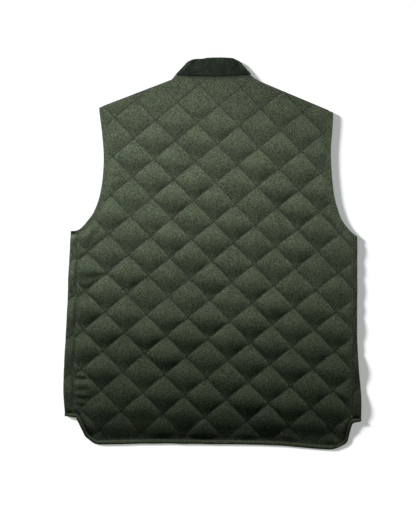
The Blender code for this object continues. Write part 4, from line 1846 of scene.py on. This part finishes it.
@dataclass
class Stitching:
    """Rows of stitches, gathered into one mesh."""

    length: float = 3.3
    gap: float = 0.12
    radius: float = 0.62
    proud: float = 0.5
    sink: float = 0.5
    feel: float = 0.3
    sides: int = 5
    rings: Line = ((0.0, 0.35), (0.22, 0.95), (0.5, 1.0), (0.78, 0.95), (1.0, 0.35))
    points: list[Array] = field(default_factory=list)

    def sew(self, path: Array) -> None:
        """Sew a row.

        Args:
            path: Points along the row, on the cloth.
        """
        total = arc_lengths(path)[-1]
        starts = np.arange(self.gap, total - self.length - self.gap, self.length + self.gap)
        if len(starts) == 0:
            return
        share, thick = np.array(self.rings).T
        marks = starts[:, None] + share * self.length
        middle = along_path(path, marks)
        middle[..., 2] += self.radius * self.proud - self.sink * (2 * share - 1) ** 4
        along = unit(along_path(path, marks + self.feel) - along_path(path, marks - self.feel))
        side = unit(np.cross(along, UP))
        over = np.cross(side, along)
        angle = np.linspace(0, 2 * np.pi, self.sides, endpoint=False)[:, None]
        ring = side[..., None, :] * np.cos(angle) + over[..., None, :] * np.sin(angle)
        self.points.append(middle[..., None, :] + ring * (self.radius * thick)[:, None, None])

    def build(self) -> MeshData:
        """Build the stitches as closed spindles.

        Returns:
            The stitches' points and faces.
        """
        stitches = np.concatenate(self.points)
        count, rings, sides = stitches.shape[:3]
        spindle, size = section_faces(rings, sides), rings * sides
        faces = [tuple(n + first * size for n in face) for first in range(count) for face in spindle]
        return stitches.reshape(-1, 3), faces


@dataclass
class QuiltStitching:
    """Sews the quilting of the back and of the fronts' strips along both families of lines."""

    back: QuiltedBack
    fronts: list[WrappedFront]
    margin: float = 3.0
    strip_margin: float = 1.2
    step: float = 0.9
    diamond_side: float = 55.0
    # Rows of dark stitches over the dark wedge at the left underarm: start, end and inset of each.
    underarm_stitches: tuple[Triple, ...] = ((-269.6, -256.4, 0.7), (-269.5, -258.4, 1.7), (-269.3, -261.0, 2.7),
                                (-269.0, -264.0, 3.6))
    underarm_level: float = 7.3
    underarm_points: int = 12
    underarm_step: float = 1.0

    def rows(self, panel: QuiltedBack | WrappedFront, outline: Array, margin: float,
             shift: Pair) -> list[Array]:
        """Trace the stretches of stitch line that lie on a panel.

        Args:
            panel: The panel, which gives the heights.
            outline: The outline that the stitches stay inside.
            margin: How far inside they stay.
            shift: Counts by which the panel's lines are offset.

        Returns:
            The stretches, as points on the cloth.
        """
        quilting = self.back.quilting
        reach = quilting.diamonds
        long_way = np.linspace(-reach, reach, round(2 * reach * self.diamond_side / self.step))
        rows = []
        for line in range(-reach, reach + 1):
            still = np.full(len(long_way), float(line))
            for u, v in ((still, long_way), (long_way, still)):
                places = quilting.place(u - shift[0], v - shift[1])
                on_cloth = inside_distance(places, outline) > margin
                marks = np.flatnonzero(np.diff(np.concatenate(((0,), on_cloth, (0,)))))
                for start, end in marks.reshape(-1, 2):
                    stretch = places[start:end]
                    if end - start > 1:
                        rows.append(np.column_stack((stretch, panel.height(stretch))))
        return rows

    def underarm_rows(self) -> list[Array]:
        """Trace the rows of dark stitches across the left armhole's binding under the arm.

        Returns:
            The rows, as points on the binding.
        """
        curve = smooth_curve(self.back.pattern.left.armhole, self.underarm_step)[::-1]
        rows = []
        for start, end, inset in self.underarm_stitches:
            x = np.linspace(start, end, self.underarm_points)
            y = np.interp(x, curve[:, 0], curve[:, 1]) - inset
            rows.append(np.column_stack((x, y, np.full(len(x), self.underarm_level))))
        return rows

    def dress(self, material: bpy.types.Material) -> bpy.types.Object:
        """Make the stitches in their finish.

        Args:
            material: The thread's finish.

        Returns:
            The new object.
        """
        underarm_stitches = Stitching(length=2.6, gap=0.1, sink=0.3)
        for row in self.underarm_rows():
            underarm_stitches.sew(row)
        stitching = Stitching(points=underarm_stitches.points)
        rows = self.rows(self.back, self.back.outline, self.margin, (0.0, 0.0))
        for front in self.fronts:
            rows += self.rows(front, front.strip_outline(), self.strip_margin, front.half.strip_shift)
        for row in rows:
            stitching.sew(row)
        return add_piece("quilting_stitches", stitching.build(), material)


@dataclass(frozen=True)
class Lamp:
    """A studio light, placed in metres, with its spread in degrees and a panel's size."""

    name: str
    kind: LampKind
    place: Triple
    target: Triple
    energy: float
    spread: float
    size: Pair = (1.0, 1.0)

    def build(self, lit: list[bpy.types.Object]) -> None:
        """Hang the light and aim it.

        Args:
            lit: The objects that it shines on.
        """
        data = bpy.data.lights.new(self.name, self.kind.value)
        data.energy = self.energy
        if self.kind is LampKind.PANEL:
            data.shape = 'RECTANGLE'
            data.size, data.size_y = self.size
            data.spread = math.radians(self.spread)
        else:
            data.angle = math.radians(self.spread)
        light = bpy.data.objects.new(self.name, data)
        light.location = self.place
        way = np.array(self.target) - np.array(self.place)
        yaw, tilt = math.atan2(way[1], way[0]), math.acos(-way[2] / np.linalg.norm(way))
        light.rotation_euler = (tilt, 0.0, yaw - QUARTER_TURN)
        bpy.context.scene.collection.objects.link(light)
        group = bpy.data.collections.new(self.name + "_lit")
        for piece in lit:
            group.objects.link(piece)
        light.light_linking.receiver_collection = group


@dataclass
class Studio:
    """White floor, soft lights and a camera straight above."""

    centre: Pair = (-8.196, -12.405)
    frame_height: float = 0.988
    camera_height: float = 6.0
    focus_height: float = 0.009
    sensor: float = 36.0
    floor_size: float = 8.0
    floor_gap: float = 0.0003
    garment_lamps: tuple[Lamp, ...] = (
        Lamp("key", LampKind.PANEL, place=(-0.17, 0.686, 0.385), target=(-0.083, -0.004, 0.0),
             energy=2.0, spread=40.0, size=(1.16, 0.2)),
        Lamp("shoulder", LampKind.PANEL, place=(-0.328, 0.786, 0.341), target=(-0.202, 0.338, 0.0),
             energy=0.77, spread=39.3, size=(0.6, 0.2)),
    )
    floor_lamps: tuple[Lamp, ...] = (
        Lamp("floor_sun", LampKind.SUN, place=(-2.05, 1.0, 0.8), target=(0.0, 0.0, 0.0), energy=7.1,
             spread=11.0),
        Lamp("floor_fill", LampKind.SUN, place=(0.0, 0.0, 1.0), target=(0.0, 0.0, 0.0), energy=1.2,
             spread=11.0),
    )
    ambient: Triple = (0.7, 1.0, 0.86)
    ambient_strength: float = 0.06

    def build_camera(self) -> None:
        """Place the camera so that the photograph's frame is filled."""
        data = bpy.data.cameras.new("camera")
        data.sensor_fit = 'VERTICAL'
        data.sensor_height = self.sensor
        data.lens = self.sensor * (self.camera_height - self.focus_height) / self.frame_height
        camera = bpy.data.objects.new("camera", data)
        across, along = (np.array(self.centre) + LAID_SHIFT[:2]) * MM
        camera.location = (across, along, self.camera_height)
        bpy.context.scene.collection.objects.link(camera)
        bpy.context.scene.camera = camera

    def build_floor(self) -> bpy.types.Object:
        """Lay the floor just under the garment.

        Returns:
            The floor.
        """
        half = self.floor_size / 2
        corners = [(-half, -half, 0), (half, -half, 0), (half, half, 0), (-half, half, 0)]
        mesh = bpy.data.meshes.new("floor")
        mesh.from_pydata(corners, [], [(0, 1, 2, 3)])
        mesh.materials.append(FloorFinish().material())
        floor = bpy.data.objects.new("floor", mesh)
        floor.location.z = -self.floor_gap
        bpy.context.scene.collection.objects.link(floor)
        return floor

    def build_lights(self, garment: list[bpy.types.Object], floor: bpy.types.Object) -> None:
        """Light the garment from its collar end, and the floor evenly.

        Args:
            garment: The garment's pieces.
            floor: The floor.
        """
        for lamps, lit in ((self.garment_lamps, garment), (self.floor_lamps, [floor])):
            for lamp in lamps:
                lamp.build(lit)
        world = bpy.data.worlds.new("studio")
        world.use_nodes = True
        background = world.node_tree.nodes["Background"]
        background.inputs["Color"].default_value = (*self.ambient, 1.0)
        background.inputs["Strength"].default_value = self.ambient_strength
        bpy.context.scene.world = world

    def set_view(self) -> None:
        """Show colours as they are, with no film curve."""
        view = bpy.context.scene.view_settings
        view.view_transform = 'Standard'
        view.look = 'None'
        view.exposure = 0.0
        view.gamma = 1.0


def main() -> None:
    """Build the garment piece by piece, then the studio round it."""
    logging.basicConfig(level=logging.INFO, format="%(name)s %(message)s")
    studio = Studio()
    studio.build_camera()

    pattern, quilting = Pattern(), Quilting()
    wool = WoolFinish().material()
    # The bindings' copy of the wool has lighter painted shade at its rolled edges.
    edging = WoolFinish(name="wool_edging", painted_rim_shade=0.75).material()
    quilted_back = QuiltedBack(pattern, quilting)
    wrapped_fronts = [WrappedFront(pattern, half, quilting) for half in pattern.halves]
    back = quilted_back.dress(wool)
    fronts = [front.dress() for front in wrapped_fronts]
    trim = [ArmholeBinding(pattern, half).dress(edging) for half in pattern.halves]
    trim.append(HemBinding(pattern).dress(wool))
    collar = StandCollar(pattern).dress(CordFinish().material())
    trim.append(QuiltStitching(quilted_back, wrapped_fronts).dress(ThreadFinish().material()))
    garment = [back, collar, *fronts, *trim]
    for piece in garment:
        LOG.info("%s: %d points, %d faces", piece.name, len(piece.data.vertices), len(piece.data.polygons))

    floor = studio.build_floor()
    studio.build_lights(garment, floor)
    studio.set_view()


if __name__ == "__main__":
    main()
